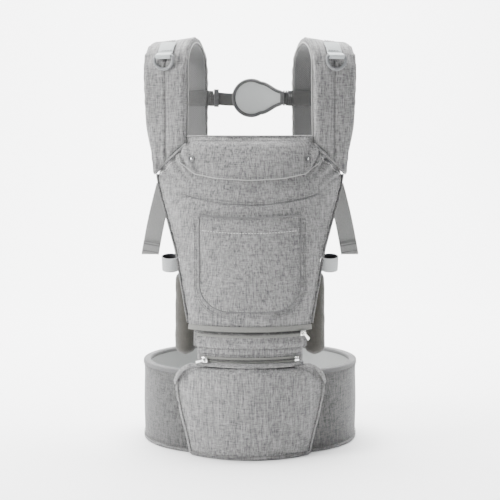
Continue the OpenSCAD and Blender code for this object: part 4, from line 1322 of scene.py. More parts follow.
class CARRIER_OT_panel(Operator):
    """The padded front panel with its lining, edge bindings, piping and seams"""
    bl_idname = "carrier.panel"
    bl_label = "Front panel"

    def execute(self, context):
        z0, z1 = PANEL_LOW.z + 0.0004, PANEL_HIGH.z - 0.0006

        def at(u, v, out):
            z = z0 + (z1 - z0) * (1 + v) / 2
            x = u * (panel_half_at(z) - 0.0006)
            return panel_point(x, z, out)
        front = grid("panel_cover", 90, 90, lambda u, v: at(u, v, -0.0012))
        back = grid("panel_inner", 90, 90, lambda u, v: at(u, v, -0.0098))
        join_shell(front, back)
        swell(front, context.scene.carrier_sizes.pad_swell, fixed=panel_hold)
        relief(front, panel_relief)
        finish_piece(front, "panel", "heather_fabric", "heather", nodes=["panel_pad"])
        TREES["panel"] = surface_tree(front)

        lining = grid("panel_mesh_lining", 80, 80, lambda u, v: at(
            u * 0.984, v * 0.968 - 0.017, -0.0110 - 0.0007 * (1 - u ** 6) * (1 - v ** 6)))
        thicken(lining, 0.0010)
        finish_piece(lining, "panel", "light_mesh", "belt_mesh", nodes=["panel_lining"])

        for side, word in SIDES:
            # The edge bindings are in the darker linen: painted shade along the panel's sides.
            levels = np.linspace(PANEL_LOW.z + 0.010, STRAP_FOOT, 70)
            line = [panel_point(side * (panel_half_at(z) + 0.0003), z, -0.0022) for z in levels]
            swept(f"panel_edge_{word}", line, panel_facing(line),
                  round_profile(0.0021, 12, wide=0.75, tall=1.5), "panel", "dark_binding",
                  "heather_dark", nodes=on_right(side, "panel_binding"))
            a, b = SHOULDER
            seam = [panel_point(side * (a.x + (b.x - a.x) * t), a.z + (b.z - a.z) * t, 0.0010)
                    for t in np.linspace(-0.04, 1.0, 30)]
            swept(f"shoulder_piping_{word}", seam, panel_facing(seam),
                  round_profile(2.2 * context.scene.carrier_sizes.piping_radius, 10), "panel", "piping",
                  "heather")
            row = [on_panel(side * (a.x - 0.005 + (b.x - a.x) * t),
                            a.z - 0.0065 + (b.z - a.z) * t, 0.0002)
                   for t in np.linspace(0.02, 0.98, 30)]
            stitches(f"shoulder_stitching_{word}", row, panel_facing(row),
                     "thread", "panel", "heather_fabric")
        # The top tape is in the darker linen: painted shade along the panel's top edge.
        top = [panel_point(x, PANEL_HIGH.z - 0.0008, -0.0050) for x in np.linspace(-0.0985, 0.0985, 60)]
        swept("panel_top_tape", top, lambda i: panel_normal(top[i].x, PANEL_HIGH.z),
              round_profile(0.0052, 14, wide=0.42, tall=1.36), "panel", "heather_fabric",
              "heather_dark")
        # A dark cord along the cross seam: painted shadow in the seam.
        fold = [on_panel(x, cross_seam(x), 0.0001)
                for x in np.linspace(-0.104, 0.104, 70)]
        painted_shadow_line("panel_cross_seam_shadow", fold, panel_facing(fold), "panel")
        row = [on_panel(x, cross_seam(x) + 0.0032, 0.0002)
               for x in np.linspace(-0.104, 0.104, 70)]
        stitches("panel_cross_stitching", row, panel_facing(row),
                 "dark_thread_and_shade_line", "panel", "heather_fabric")
        return {"FINISHED"}


TREES = {}


def surface_tree(obj):
    return BVHTree.FromPolygons([v.co.copy() for v in obj.data.vertices],
                                [tuple(p.vertices) for p in obj.data.polygons])


def on_panel(x, z, out):
    """A point lying on the stuffed panel's real surface, out beyond it."""
    normal = panel_normal(x, z)
    start = panel_point(x, z, 0.030)
    hit = TREES["panel"].ray_cast(start, -normal, 0.045)[0]
    return (hit if hit is not None else panel_point(x, z)) + normal * out


def panel_hold(points):
    """How far each point of the panel may swell: least at its edges and behind it."""
    keep = []
    for p in points:
        edge = panel_half_at(min(max(p[2], PANEL_LOW.z), PANEL_HIGH.z)) - abs(p[0])
        rim = min(p[2] - PANEL_LOW.z, PANEL_HIGH.z - p[2], edge)
        away, along = seam_distance(p[0], p[2])
        if -0.1 < along < 1.1:
            rim = min(rim, float(away))
        behind = panel_normal(p[0], p[2]).dot(Vector(p) - panel_point(p[0], p[2])) < -0.0055
        keep.append(min(max(rim / 0.016, 0), 1) * (0.25 if behind else 1))
    return np.array(keep)


def panel_relief(points, normals):
    """Stuffed crown, gathers at the shoulders and sewn channels."""
    x, z = points[:, 0], points[:, 2]
    facing = np.clip(-normals[:, 1] * 2 - 0.6, 0, 1)
    v = np.clip((z - PANEL_LOW.z) / PANEL_H, 0, 1)
    half = np.array([panel_half_at(t) for t in np.clip(z, PANEL_LOW.z, PANEL_HIGH.z)])
    u = np.clip(np.abs(x) / half, 0, 1)
    crown = 0.0022 * (1 - u ** 4) * (1 - (2 * v - 1) ** 6)
    groove = 0.0020 * np.exp(-((z - cross_seam(x)) / 0.0022) ** 2) * (np.abs(x) < 0.106)
    side = 0.0016 * np.exp(-((half - np.abs(x) - 0.0062) / 0.0018) ** 2)
    puckers = 0.0007 * np.sin(z * 900 + 2 * np.sin(z * 210)) * np.exp(-((half - np.abs(x)) / 0.010) ** 2)
    soft = 0.0011 * np.sin(x * 61 + 1.3 * np.sin(z * 37)) * np.sin(z * 43 + x * 17)
    return facing * (crown - groove - side + puckers + soft + 0.0036 * pleats(x, z))


class CARRIER_OT_pocket(Operator):
    """The rounded patch pocket, its hem and its rows of stitching"""
    bl_idname = "carrier.pocket"
    bl_label = "Pocket"

    def execute(self, context):
        low_z, high_z = low("panel_pocket").z, high("panel_pocket").z
        half = high("panel_pocket").x
        bend = 0.040

        def half_at(z):
            if z > low_z + bend:
                return half
            a = math.asin(max(min((z - low_z) / bend - 1, 1), -1))
            return half * (0.40 + 0.60 * max(math.cos(a), 0))

        def place(u, v):
            z = low_z + (high_z - low_z) * (1 + v) / 2
            x = u * half_at(z)
            dip = HEM_DIP * (1 - u * u) * smooth_step(0.7, 1, v)
            puff = 0.0016 * (1 - u ** 4) * smooth_step(-1, -0.2, v)
            return on_panel(x, z - dip, 0.0014 + puff)
        patch = grid("patch_pocket", 70, 70, place)
        relief(patch, lambda p, n: -n[:, 1] * 0.0007 * np.sin(p[:, 0] * 58 + 2) * np.sin(p[:, 2] * 49))
        thicken(patch, 0.0016)
        finish_piece(patch, "panel", "heather_fabric", "heather", nodes=["panel_pocket"])
        def dipped(x):
            return high_z - HEM_DIP * (1 - (x / half) ** 2)
        # The hem is in the darker linen: painted shade under the pocket's top fold.
        hem = [on_panel(x, dipped(x) - 0.0008, 0.0030)
               for x in np.linspace(-half, half, 50)]
        swept("pocket_hem", hem, panel_facing(hem),
              round_profile(0.0017, 10, tall=0.75), "panel", "heather_fabric",
              "heather_dark")
        row = [on_panel(x, dipped(x) - 0.0225, 0.0026 + 0.0016 * (1 - (x / half) ** 4))
               for x in np.linspace(-half + 0.003, half - 0.003, 50)]
        stitches("pocket_hem_stitching", row, panel_facing(row), "thread",
                 "panel", "heather_fabric")

        def outline(grow):
            side = [(half + grow, z) for z in np.linspace(high_z - 0.004, low_z + bend, 24)]
            turn = [((half + grow) * (0.40 + 0.60 * math.cos(t)),
                     low_z + bend + (bend + grow) * math.sin(t))
                    for t in np.linspace(0, -math.pi / 2, 18)][1:]
            right = side + turn
            left = [(-x, z) for x, z in reversed(right)]
            return right + left
        # A dark cord round the pocket's sides and bottom: painted shadow where the patch meets the panel.
        edge = [on_panel(x, z, 0.0030) for x, z in outline(0.0009)]
        painted_shadow_line("pocket_edge_shadow", edge, panel_facing(edge), "panel", 0.0010)
        top = [on_panel(x, dipped(x) + 0.0010, 0.0052)
               for x in np.linspace(-half, half, 50)]
        painted_shadow_line("pocket_mouth_shadow", top, panel_facing(top), "panel", 0.0010)
        for tag, grow in (("middle", 0.0070), ("outer", 0.0096)):
            line = [on_panel(x, z, 0.0002) for x, z in outline(grow)]
            stitches(f"pocket_stitching_{tag}", line, panel_facing(line),
                     "dark_thread_and_shade_line", "panel", "heather_fabric")
        return {"FINISHED"}


FLAP_LOW = [(0, -0.070), (0.050, -0.067), (0.084, -0.060), (0.105, -0.044), (0.112, -0.027)]
FLAP_HIGH = [(0, -0.0012), (0.095, -0.0015), (0.0985, -0.013), (0.1055, -0.0195), (0.112, -0.027)]


SNAP_CAP = [(0.0001, 0.0008), (0.0021, 0.0007), (0.0026, 0.0003), (0.0033, 0.0012),
            (0.0043, 0.0017), (0.0052, 0.0013), (0.0056, 0.0004), (0.0054, -0.0004),
            (0.0030, -0.0008)]
SNAP_EYE = [(0.0001, 0.0016), (0.0012, 0.0015), (0.0019, 0.0010), (0.0022, 0.0002)]
SNAP_STUD = [(0.0001, 0.0011), (0.0014, 0.0011), (0.0018, 0.0006), (0.0036, 0.0004),
             (0.0044, 0.0001), (0.0040, -0.0008)]


def edge_at(points, x):
    for (x0, h0), (x1, h1) in zip(points, points[1:]):
        if x <= x1:
            t = (x - x0) / (x1 - x0)
            return PANEL_HIGH.z + h0 + (h1 - h0) * t
    return PANEL_HIGH.z + points[-1][1]


def on_flap(x, z, out):
    """A point lying on the head support's outer face."""
    normal = panel_normal(x, z)
    hit = TREES["flap"].ray_cast(panel_point(x, z, 0.030), -normal, 0.045)[0]
    return (hit if hit is not None else on_panel(x, z, 0.003)) + normal * out


class CARRIER_OT_flap(Operator):
    """The fold-down head support, its piped edge and its ring snaps"""
    bl_idname = "carrier.flap"
    bl_label = "Head support"

    def execute(self, context):
        reach = 0.1115

        def place(u, v):
            x = reach * math.sin(u * math.pi / 2)
            a, b = edge_at(FLAP_LOW, abs(x)), edge_at(FLAP_HIGH, abs(x))
            t = (1 + v) / 2
            puff = 0.0024 * math.sin(math.pi * t) * (1 - u ** 6)
            return on_panel(x, a + (b - a) * t, 0.0015 + puff)
        flap = grid("head_support", 90, 26, place)
        relief(flap, lambda p, n: -n[:, 1] * (0.0030 * pleats(p[:, 0], p[:, 2])
               + 0.0006 * np.sin(p[:, 0] * 47) * np.sin(p[:, 2] * 71)))
        thicken(flap, 0.0018)
        finish_piece(flap, "head_flap", "heather_fabric", "heather", nodes=["head_flap"])
        TREES["flap"] = surface_tree(flap)
        xs = [reach * math.sin(t) for t in np.linspace(-math.pi / 2, math.pi / 2, 80)]
        low_line = [on_panel(x, edge_at(FLAP_LOW, abs(x)), 0.0022) for x in xs]
        swept("head_support_piping", low_line, panel_facing(low_line),
              round_profile(context.scene.carrier_sizes.piping_radius, 10), "head_flap", "piping",
              "piping")
        for tag, curve, shift, end in (("lower", FLAP_LOW, 0.0048, 0.104),
                                       ("upper", FLAP_HIGH, -0.0070, 0.092)):
            row = [on_flap(x, edge_at(curve, abs(x)) + shift, 0.0001) for x in xs if abs(x) < end]
            stitches(f"head_support_stitching_{tag}", row, panel_facing(row),
                     "dark_thread_and_shade_line", "head_flap", "heather_fabric")
        for side, word in SIDES:
            a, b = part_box("snap_caps")
            x, z = side * (b.x - 0.0056), (a.z + b.z) / 2
            lathe(f"snap_cap_{word}", on_flap(x, z, 0.0009), panel_normal(x, z),
                  SNAP_CAP,
                  "head_flap", "snap_metal", "snap_metal", on_right(side, "snap_caps"))
            lathe(f"snap_eye_{word}", on_flap(x, z, 0.0009), panel_normal(x, z),
                  SNAP_EYE,
                  "head_flap", "snap_metal", "zip_metal")
            lathe(f"snap_stud_{word}", on_panel(x, z, -0.0002), panel_normal(x, z),
                  SNAP_STUD, "panel", "snap_metal", "snap_metal", on_right(side, "snap_studs"))
        return {"FINISHED"}


def lathe(name, centre, axis, profile, body, slot, look, nodes=(), sides=32):
    """A turned piece about an axis: (radius, height) pairs from its crown to its foot."""
    axis = Vector(axis).normalized()
    side = axis.cross(Vector((0, 0, 1))).normalized()
    up = axis.cross(side)
    rings = [[centre + axis * h + (side * math.cos(a) + up * math.sin(a)) * r
              for a in full_turn(sides)] for r, h in profile]
    return finish_piece(outward(from_rings(name, rings)), body, slot, look, angle=60, nodes=nodes)


class CARRIER_OT_side_fittings(Operator):
    """Leg bolsters, hood loops, shoulder buckles with their anchors, and the hanging tails"""
    bl_idname = "carrier.side_fittings"
    bl_label = "Side fittings"

    def execute(self, context):
        a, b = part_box("side_bolsters")
        radius = 0.013
        for side, word in SIDES:
            foot = Vector((side * (b.x - radius), a.y + radius, a.z + radius))
            top = Vector((side * (b.x - radius), b.y - radius, b.z - radius))
            axis = (top - foot).normalized()
            across = Vector((1, 0, 0))
            out = axis.cross(across)
            rings = []
            for t in np.linspace(0, 1, 44):
                arc = min(min(t, 1 - t) / 0.11, 1)
                r = radius * math.sqrt(max(1 - (1 - arc) ** 2, 0.0004))
                centre = foot + (top - foot) * (t * 1.31 - 0.18) + Vector((side * 0.0008, 0, 0))
                rings.append([centre + (across * 1.26 * math.cos(w) + out * 1.2 * math.sin(w)) * r * (
                    1 + 0.015 * math.sin(3 * w + 20 * t) * arc
                    + 0.012 * math.sin(34 * t + 2 * math.sin(w)) * arc)
                    for w in full_turn(30)])
            bolster = outward(from_rings(f"leg_bolster_{word}", rings))
            apply_modifier(bolster, "SUBSURF", levels=1, render_levels=1)
            finish_piece(bolster, "panel", "bolster_fabric", "bolster",
                         nodes=on_right(side, "side_bolsters"))
            loop_low, loop_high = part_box("side_loops")
            centre = Vector((side * (loop_high.x - 0.0085), (loop_low.y + loop_high.y) / 2,
                             mid_z("side_loops")))
            for tag, r, thick, look in (("outer", 0.0085, 0.0010, "loop_band"),
                                        ("inner", 0.0076, 0.0008, "webbing_black")):
                ring = [centre + Vector((1.5 * r * math.cos(t), r * math.sin(t), 0))
                        for t in full_turn(40)]
                loop = sweep(f"hood_loop_{tag}_{word}", ring, lambda i: (ring[i] - centre).normalized(),
                             strip_profile(WEB_WIDTH, thick), closed=True)
                tip_back(loop, centre, math.radians(24))
                finish_piece(loop, "panel", "loop_webbing", look,
                             nodes=["side_loops"] if side > 0 and tag == "outer" else ())
            make_tail(side, word)
        for name, look, slot in (("ladder_locks", "ring", "buckle_plastic"),
                                 ("lock_anchors", "webbing", "grey_webbing")):
            part = clone_node(name, f"shoulder_{'buckles' if look == 'ring' else 'anchors'}")
            points = coords(part)
            middle = np.sign(points[:, 0]) * BUCKLE_X
            points[:, 0] = middle + (points[:, 0] - middle) * 0.8 - np.sign(middle) * BUCKLE_SHIFT
            set_coords(part, points)
            bevel(part, 0.0008 if look == "ring" else 0.0004, 40)
            finish_piece(part, "panel", slot, look, angle=50, nodes=[name])
        return {"FINISHED"}


def tip_back(obj, centre, angle):
    """Turns a piece about a sideways axis through a centre."""
    c, s, middle = math.cos(angle), math.sin(angle), np.array(centre)
    x, y, z = (coords(obj) - middle).T
    set_coords(obj, np.stack([x, c * y - s * z, s * y + c * z], axis=1) + middle)


def make_tail(side, word):
    a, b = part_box(f"tail_{word}")
    hem, back_y, top_z = 0.020, b.y - 0.0008, b.z + 0.014

    def at(t):
        inward = -BUCKLE_SHIFT + 0.0245 * t + 0.0015 * math.sin(math.pi * t)
        return Vector(((a.x + b.x) / 2 + side * inward,
                       back_y - 0.0012 * math.sin(math.pi * t), top_z - (top_z - a.z - 0.0016) * t))
    path = [at(t) for t in np.linspace(0, 1, 40)]
    path += [path[-1] + Vector((0, -0.0007, -0.0007)), path[-1] + Vector((0, -0.0016, 0.0002))]
    down = (at(1) - at(0.8)).normalized()
    path += [path[39] - down * s + Vector((0, -0.0017, 0)) for s in np.linspace(0.002, hem, 8)]
    facing = [Vector((0, -1, 0))] * 39
    facing += [Vector((0, -0.6, 0.8)), Vector((0, 0, 1)), Vector((0, 0.8, 0.6))]
    facing += [Vector((0, 1, 0))] * (len(path) - 42)
    swept(f"webbing_tail_{word}", path, lambda i: facing[i], strip_profile(0.0278, 0.0015),
          f"tail_{word}", "grey_webbing", "webbing", nodes=[f"tail_{word}"])
    across = Vector((-down.z, 0, down.x))
    for tag, rise in (("a", 0.0185), ("b", 0.0145), ("c", 0.0035)):
        row = [path[39] - down * rise + across * s + Vector((0, -0.0027, 0))
               for s in np.linspace(-0.0130, 0.0130, 8)]
        swept(f"tail_bar_{word}_{tag}", row, (0, -1, 0),
              round_profile(0.00045, 6, wide=1.2), f"tail_{word}", "grey_webbing",
              "dark_thread_and_shade_line")


# ---------------------------------------------------------------- shoulder straps
def strap_local(side, points):
    """Sideways, outward and lengthwise places of points on a strap."""
    c, s = math.cos(STRAP_TURN), math.sin(STRAP_TURN)
    x, y = points[:, 0] * side - STRAP_MID.x, points[:, 1] - STRAP_MID.y
    across, deep, z = c * x + s * y, -s * x + c * y, points[:, 2]
    z = np.where(z > ARCH_Z, ARCH_Z + (z - ARCH_Z) / shoulder_drop(across), z)
    out = np.where(z > ARCH_Z, np.hypot(deep, z - ARCH_Z), np.abs(deep)) - STRAP_LEG
    turn = np.arctan2(np.clip(z - ARCH_Z, 0, None), -deep)
    run = np.where(z > ARCH_Z, STRAP_FRONT + turn * STRAP_LEG,
                   np.where(deep < 0, z - STRAP_FOOT,
                            STRAP_FRONT + math.pi * STRAP_LEG + ARCH_Z - z))
    return across, out, run


def strap_half(t):
    return STRAP_HALF * (0.955 + 0.045 * math.sin(math.pi * min(t * 2.1, 1)))


class CARRIER_OT_straps(Operator):
    """The stuffed shoulder straps, their mesh lining, edge piping and lower webbing"""
    bl_idname = "carrier.straps"
    bl_label = "Shoulder straps"

    def execute(self, context):
        for side, word in SIDES:

            def ring_at(t, half, inner, outer):
                row = [half * (-1 + 2 * k / 10) for k in range(11)]
                return ([strap_place(side, strap_run(w, t), w, outer)[0] for w in row]
                        + [strap_place(side, strap_run(w, t), w, inner)[0] for w in row[::-1]])
            strap = outward(from_rings(f"strap_cover_{word}", [
                ring_at(t, strap_half(t) - 0.0008, -STRAP_T / 2 + 0.0022, STRAP_T / 2 - 0.0012)
                for t in np.linspace(0, 1, 90)]))

            def held(points, side=side):
                _, out, run = strap_local(side, points)
                keep = np.clip((out + 0.0045) / 0.004, 0, 1)
                ends = np.clip(np.minimum(run - 0.012, STRAP_LENGTH - run) / 0.02, 0, 1)
                sleeve = np.where((run > STRAP_LENGTH - 0.205) & (run < STRAP_LENGTH - 0.050), 0.10, 1)
                return keep * ends * sleeve
            swell(strap, 0.0022, fixed=held)

            def channel(points, normals, side=side):
                across, out, run = strap_local(side, points)
                face = np.clip((out - 0.002) / 0.002, 0, 1)
                middle = np.exp(-((across + 0.001) / 0.0021) ** 2)
                waves = np.sin(run * 330 + across * 40) * np.exp(-((np.abs(across) - 0.033) / 0.005) ** 2)
                start = np.exp(-np.clip(run - 0.02, 0, None) / 0.022) * np.sin(across * 520)
                return face * (-0.0026 * middle + 0.00045 * waves + 0.0007 * start
                               + 0.0005 * np.sin(run * 47 + across * 61))
            relief(strap, channel)
            set_thread(strap, np.stack(strap_local(side, coords(strap)), axis=1))
            finish_piece(strap, "harness", "heather_fabric", "heather", nodes=[f"strap_{word}"])

            lining = outward(from_rings(f"strap_mesh_{word}", [
                ring_at(t, strap_half(t) - 0.0018, -STRAP_T / 2 - 0.0002 + 0.0001 * math.sin(40 * t),
                        -STRAP_T / 2 + 0.0022) for t in np.linspace(0, 1, 140)]))
            set_thread(lining, np.stack(strap_local(side, coords(lining)), axis=1))
            finish_piece(lining, "harness", "grey_mesh", "strap_mesh", nodes=[f"strap_lining_{word}"])
            for edge in (-1, 1):
                path, outs = [], []
                for t in np.linspace(0, 1, 110):
                    w = edge * (strap_half(t) - 0.0004)
                    p, n = strap_place(side, strap_run(w, t), w, -STRAP_T / 2 + 0.0030)
                    path.append(p)
                    outs.append(n)
                tag = "inner" if edge < 0 else "outer"
                swept(f"strap_piping_{word}_{tag}", path, lambda i: outs[i], round_profile(0.0010, 8),
                      "harness", "piping", "piping")
            # A dark cord down the strap's middle channel: painted shadow in the channel.
            tree = surface_tree(strap)
            path, outs = [], []
            for t in np.linspace(0.012, 0.985, 130):
                p, n = strap_place(side, strap_run(-0.001, t), -0.001, STRAP_T / 2)
                hit = tree.ray_cast(p + n * 0.012, -n, 0.02)[0]
                path.append((hit if hit is not None else p) + n * 0.0001)
                outs.append(n)
            painted_shadow_line(f"strap_seam_shadow_{word}", path, lambda i: outs[i], "harness", 0.00055)
            make_lower_webbing(side, word)
            make_ring(side, word)
        return {"FINISHED"}


def make_lower_webbing(side, word):
    a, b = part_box(f"lower_webbing_{word}")
    top = Vector((side * 0.1017, b.y - 0.0049, BACK_END - 0.0004))
    low_end = Vector((side * 0.1365, low("ladder_locks").y + 0.0105, a.z + 0.0133))
    mid = [top, top - Vector((0, 0, 0.034)), low_end + Vector((-side * 0.006, 0.026, -0.020)), low_end]
    path = []
    for t in np.linspace(0, 1, 40):
        path.append(mid[0] * (1 - t) ** 3 + mid[1] * 3 * t * (1 - t) ** 2 + mid[2] * 3 * t * t * (1 - t)
                    + mid[3] * t ** 3)
    outs = []
    for i in range(40):
        t = i / 39
        turn = STRAP_TURN * (1 - t) * side
        width = Vector((math.cos(turn), math.sin(turn), 0))
        tangent = (path[min(i + 1, 39)] - path[max(i - 1, 0)]).normalized()
        outs.append(width.cross(tangent))
    strip = sweep(f"lower_strap_webbing_{word}", path, lambda i: outs[i],
                  strip_profile(WEB_WIDTH, 0.0016))
    finish_piece(strip, None, "grey_webbing", "webbing", nodes=[f"lower_webbing_{word}"])
    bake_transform(strip)


def make_ring(side, word):
    ring_z, deep, reach, bar = ARCH_Z + 0.020, 0.0568, 0.0154, 0.0026

    def local(w, z, d):
        c, s = math.cos(STRAP_TURN), math.sin(STRAP_TURN)
        return Vector((side * (STRAP_MID.x + c * w - s * d), STRAP_MID.y + s * w + c * d, tilted(w, z)))
    path = [(w, ring_z) for w in np.linspace(-reach, reach, 9)[1:-1]]
    path += [(reach - 0.0008, ring_z - 0.0004), (reach, ring_z - 0.0018), (reach, ring_z - 0.004),
             (reach, ring_z - 0.006)]
    path += [(reach * math.cos(t), ring_z - 0.006 - reach * math.sin(t))
             for t in np.linspace(0, math.pi, 26)[1:]]
    path += [(-reach, ring_z - 0.004), (-reach, ring_z - 0.0018), (-reach + 0.0008, ring_z - 0.0004)]
    points = [local(w, z, -deep) for w, z in path]
    out = local(0, 0, -deep - 1) - local(0, 0, -deep)
    swept(f"dee_{word}", points, out, round_profile(bar, 14, tall=0.92),
          f"d_ring_{word}", "ring_plastic", "ring", nodes=[f"d_ring_{word}"], closed=True)
    over = 0.0562
    start = math.asin(0.0215 / over)
    strip = [(-deep + 0.0032, ring_z - 0.0020), (-deep - 0.0001, ring_z - 0.0033),
             (-deep - 0.0030, ring_z - 0.0008), (-deep - 0.0026, ring_z + 0.0022)]
    arch = [(-over * math.cos(t), ARCH_Z + over * math.sin(t))
            for t in np.linspace(start + 0.09, math.radians(52), 14)]
    path = smooth_path([Vector((0, d, z)) for d, z in strip + arch], 60)
    points = [local(0, p.z, p.y) for p in path]
    outs = []
    for i, p in enumerate(path):
        a, b = path[max(i - 1, 0)], path[min(i + 1, 59)]
        t = (b - a).normalized()
        n = Vector((0, -t.z, t.y))
        outs.append(local(0, n.z, n.y) - local(0, 0, 0))
    swept(f"ring_tab_{word}", points, lambda i: outs[i], strip_profile(WEB_WIDTH, 0.0016), "harness",
          "pale_webbing", "webbing_pale", nodes=on_right(side, "ring_tabs"))
    for tag, t in (("a", 0.40), ("b", math.radians(48))):
        turn, above = t + start * 0.4, over + 0.0009
        row = [local(w, ARCH_Z + above * math.sin(turn), -above * math.cos(turn))
               for w in np.linspace(-0.0112, 0.0112, 8)]
        n = Vector((0, -math.cos(t), math.sin(t)))
        stitches(f"ring_tab_stitching_{word}_{tag}", row, local(0, n.z, n.y) - local(0, 0, 0),
                 "dark_thread_and_shade_line", "harness", "pale_webbing")


# ---------------------------------------------------------------- cross strap
class CARRIER_OT_cross_strap(Operator):
    """The cross strap behind the neck: sleeves, bands, glide, webbing, buckle and teardrop pad"""
    bl_idname = "carrier.cross_strap"
    bl_label = "Cross strap"

    def execute(self, context):
        level = mid_z("chest_bands")
        line_y = (low("chest_webbing").y + high("chest_webbing").y) / 2
        for side, word in SIDES:
            halves = (STRAP_HALF + 0.0014, STRAP_T / 2 + 0.0015)
            corner = 0.004
            loop = []
            for cx, cy, start in ((1, 1, 0), (-1, 1, 90), (-1, -1, 180), (1, -1, 270)):
                for t in np.linspace(0, 90, 7):
                    r = math.radians(start + t)
                    loop.append((cx * (halves[0] - corner) + corner * math.cos(r),
                                 cy * (halves[1] - corner) + corner * math.sin(r)))
            c, s = math.cos(STRAP_TURN), math.sin(STRAP_TURN)
            path = [Vector((side * (STRAP_MID.x + c * w - s * (STRAP_LEG + d)),
                            STRAP_MID.y + s * w + c * (STRAP_LEG + d), level)) for w, d in loop]
            centre = sum(path, Vector()) / len(path)
            swept(f"cross_sleeve_{word}", path, lambda i: (path[i] - centre).normalized(),
                  strip_profile(WEB_WIDTH, 0.0018), "chest", "dark_webbing", "webbing_dark",
                  nodes=on_right(side, "chest_bands"), closed=True)
            inner = min(path, key=lambda p: abs(p.x))
            start_x = inner.x + side * 0.0035
            end_x = low("chest_glide").x + 0.001 if side < 0 else 0.064
            run = [Vector((x, line_y, level - 0.0006 * math.sin(k / 11 * math.pi)))
                   for k, x in enumerate(np.linspace(start_x, end_x, 12))]
            swept(f"cross_band_{word}", run, (0, -1, 0), strip_profile(WEB_WIDTH, 0.0019), "chest",
                  "dark_webbing", "webbing_dark")
            for tag, shift in (("a", 0.0025), ("b", 0.0065)):
                x = end_x + side * shift
                row = [Vector((x, line_y - 0.0010, level + s)) for s in np.linspace(-0.011, 0.011, 7)]
                stitches(f"cross_stitching_{word}_{tag}", row, (0, -1, 0), "dark_thread_and_shade_line", "chest",
                         "dark_webbing")
        a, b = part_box("chest_webbing")
        pad_low, pad_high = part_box("chest_pad")
        spans = (("left", a.x + 0.001, low("chest_female").x + 0.004, 0.0024),
                 ("right", high("chest_male").x - 0.003, b.x - 0.001, 0.0006))
        for word, x0, x1, droop in spans:
            path = [Vector((x, line_y, level - droop * math.sin(math.pi * k / 15)))
                    for k, x in enumerate(np.linspace(x0, x1, 16))]
            swept(f"cross_webbing_{word}", path, (0, -1, 0), strip_profile(0.0208, 0.0014), "chest",
                  "dark_webbing", "webbing_dark", nodes=["chest_webbing"] if word == "left" else ())
        for k, x in enumerate((0.0555, 0.0595, 0.0632)):
            path = [Vector((x, line_y - 0.0012 + 0.0002 * k, z))
                    for z in np.linspace(level - WEB_WIDTH / 2, level + WEB_WIDTH / 2, 12)]
            swept(f"webbing_fold_{k}", path, (0, -1, 0),
                  round_profile(0.0009, 8, wide=1.5), "chest", "dark_webbing",
                  "binding")
        glide = clone_node("chest_glide", "cross_glide")
        bevel(glide, 0.0009, 40)
        finish_piece(glide, "chest", "buckle_plastic", "plastic", angle=50, nodes=["chest_glide"])
        make_buckle("chest", "chest", -1)

        centre = Vector((pad_low.x + 0.029, (pad_low.y + pad_high.y) / 2, level))
        tip = pad_high.x - centre.x
        outline = [(0.0285 * math.cos(t), 0.0285 * math.sin(t)) for t in np.linspace(math.radians(58),
                   math.radians(302), 40)]
        lower = [(0.0151 + (tip - 0.0151) * s, -(0.0242 - 0.0147 * smooth_step(0, 1, s)))
                 for s in np.linspace(0.08, 1, 14)]
        outline = outline + lower + [(x, -z) for x, z in reversed(lower)]
        rings = []
        for depth, levels in ((-1, np.linspace(0.02, 1, 12)), (1, np.linspace(1, 0.02, 12))):
            for t in levels:
                puff = 0.0022 * (1 - t ** 3) + 0.0006
                rings.append([centre + Vector((x * t, depth * puff, z * t)) for x, z in outline])
        pad = outward(from_rings("teardrop_pad", rings))
        finish_piece(pad, "chest", "light_mesh", "pad_mesh", nodes=["chest_pad"])
        path = [centre + Vector((x, 0, z)) for x, z in outline]
        swept("teardrop_binding", path, (0, -1, 0),
              round_profile(0.0027, 12, wide=1.15, tall=1.2), "chest", "dark_binding",
              "binding", closed=True)
        return {"FINISHED"}


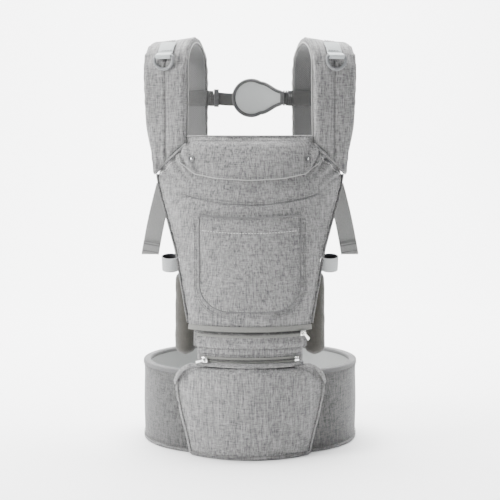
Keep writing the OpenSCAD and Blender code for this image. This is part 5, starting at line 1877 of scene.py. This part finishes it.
# ---------------------------------------------------------------- stage
class CARRIER_OT_stage(Operator):
    """A pale sweep of floor and wall, soft studio lights and the camera"""
    bl_idname = "carrier.stage"
    bl_label = "Stage"

    def execute(self, context):
        deselect()
        def paper(u, v):
            run = 4.2 * (v + 1) - 3.2
            if run < 1.4:
                return (4.5 * u, run, -0.0002)
            turn = min((run - 1.4) / 1.2, math.pi / 2)
            rise = max(run - 1.4 - 1.2 * math.pi / 2, 0)
            return (4.5 * u, 1.4 + 1.2 * math.sin(turn), 1.2 * (1 - math.cos(turn)) + rise)
        floor = grid("floor", 8, 120, paper)
        bpy.ops.object.shade_smooth()
        made, tree, shader = start_material("Studio paper", 0.75, specular=0.1)
        tone = remap(tree, streaks(tree, object_vector(tree), (3, 3, 3), 3, 1.0), 0.3, 0.7, 0.895, 0.905)
        wire(tree, tone, shader.inputs["Base Color"])
        floor.data.materials.append(made)
        world = bpy.data.worlds.new("Studio")
        context.scene.world = world
        world.use_nodes = True
        back = world.node_tree.nodes["Background"]
        back.inputs["Color"].default_value = (0.95, 0.97, 1.0, 1.0)
        back.inputs["Strength"].default_value = 0.58
        lights = (("Key", (-2.3, -1.0, 1.35), (0, 0, 0.3), 0.8, 118.0),
                  ("Top", (-0.3, 0.1, 2.1), (0, 0, 0.3), 1.0, 38.0),
                  ("Paper", (0.0, 0.9, 2.8), (0, 3.0, 0.5), 2.5, 560.0))
        for name, place, target, size, power in lights:
            lamp = bpy.data.lights.new(name, "AREA")
            lamp.size = size
            lamp.energy = power
            obj = bpy.data.objects.new(name, lamp)
            obj.location = place
            aim = Vector(target) - Vector(place)
            obj.rotation_euler = aim.to_track_quat("-Z", "Y").to_euler()
            context.scene.collection.objects.link(obj)
        camera = bpy.data.cameras.new("Camera")
        camera.lens = 83.6
        camera.sensor_width = 36
        view = bpy.data.objects.new("Camera", camera)
        view.location = (0, -1.8868, 0.5)
        view.rotation_euler = (math.radians(90 - 5.78), 0, 0)
        context.scene.collection.objects.link(view)
        context.scene.camera = view
        return {"FINISHED"}


class CARRIER_PT_panel(Panel):
    bl_idname = "CARRIER_PT_panel"
    bl_label = "Carrier"
    bl_space_type = "VIEW_3D"
    bl_region_type = "UI"
    bl_category = "Carrier"

    def draw(self, context):
        for group in (context.scene.carrier_sizes, context.scene.carrier_colours):
            for name in group.__annotations__:
                self.layout.prop(group, name)
        for operator in OPERATORS:
            self.layout.operator(operator.bl_idname)


OPERATORS = (CARRIER_OT_belt, CARRIER_OT_rear_closure, CARRIER_OT_seat, CARRIER_OT_riser,
             CARRIER_OT_panel, CARRIER_OT_pocket, CARRIER_OT_flap, CARRIER_OT_side_fittings,
             CARRIER_OT_straps, CARRIER_OT_cross_strap, CARRIER_OT_stage)
CLASSES = (CarrierSizes, CarrierColours, *OPERATORS, CARRIER_PT_panel)


def register():
    for cls in CLASSES:
        bpy.utils.register_class(cls)
    bpy.types.Scene.carrier_sizes = PointerProperty(type=CarrierSizes)
    bpy.types.Scene.carrier_colours = PointerProperty(type=CarrierColours)


def unregister():
    del bpy.types.Scene.carrier_sizes
    del bpy.types.Scene.carrier_colours
    for cls in reversed(CLASSES):
        bpy.utils.unregister_class(cls)


def main():
    register()
    for step in (bpy.ops.carrier.belt, bpy.ops.carrier.rear_closure, bpy.ops.carrier.seat,
                 bpy.ops.carrier.riser, bpy.ops.carrier.panel, bpy.ops.carrier.pocket,
                 bpy.ops.carrier.flap, bpy.ops.carrier.side_fittings, bpy.ops.carrier.straps,
                 bpy.ops.carrier.cross_strap, bpy.ops.carrier.stage):
        step()


if __name__ == "__main__":
    main()
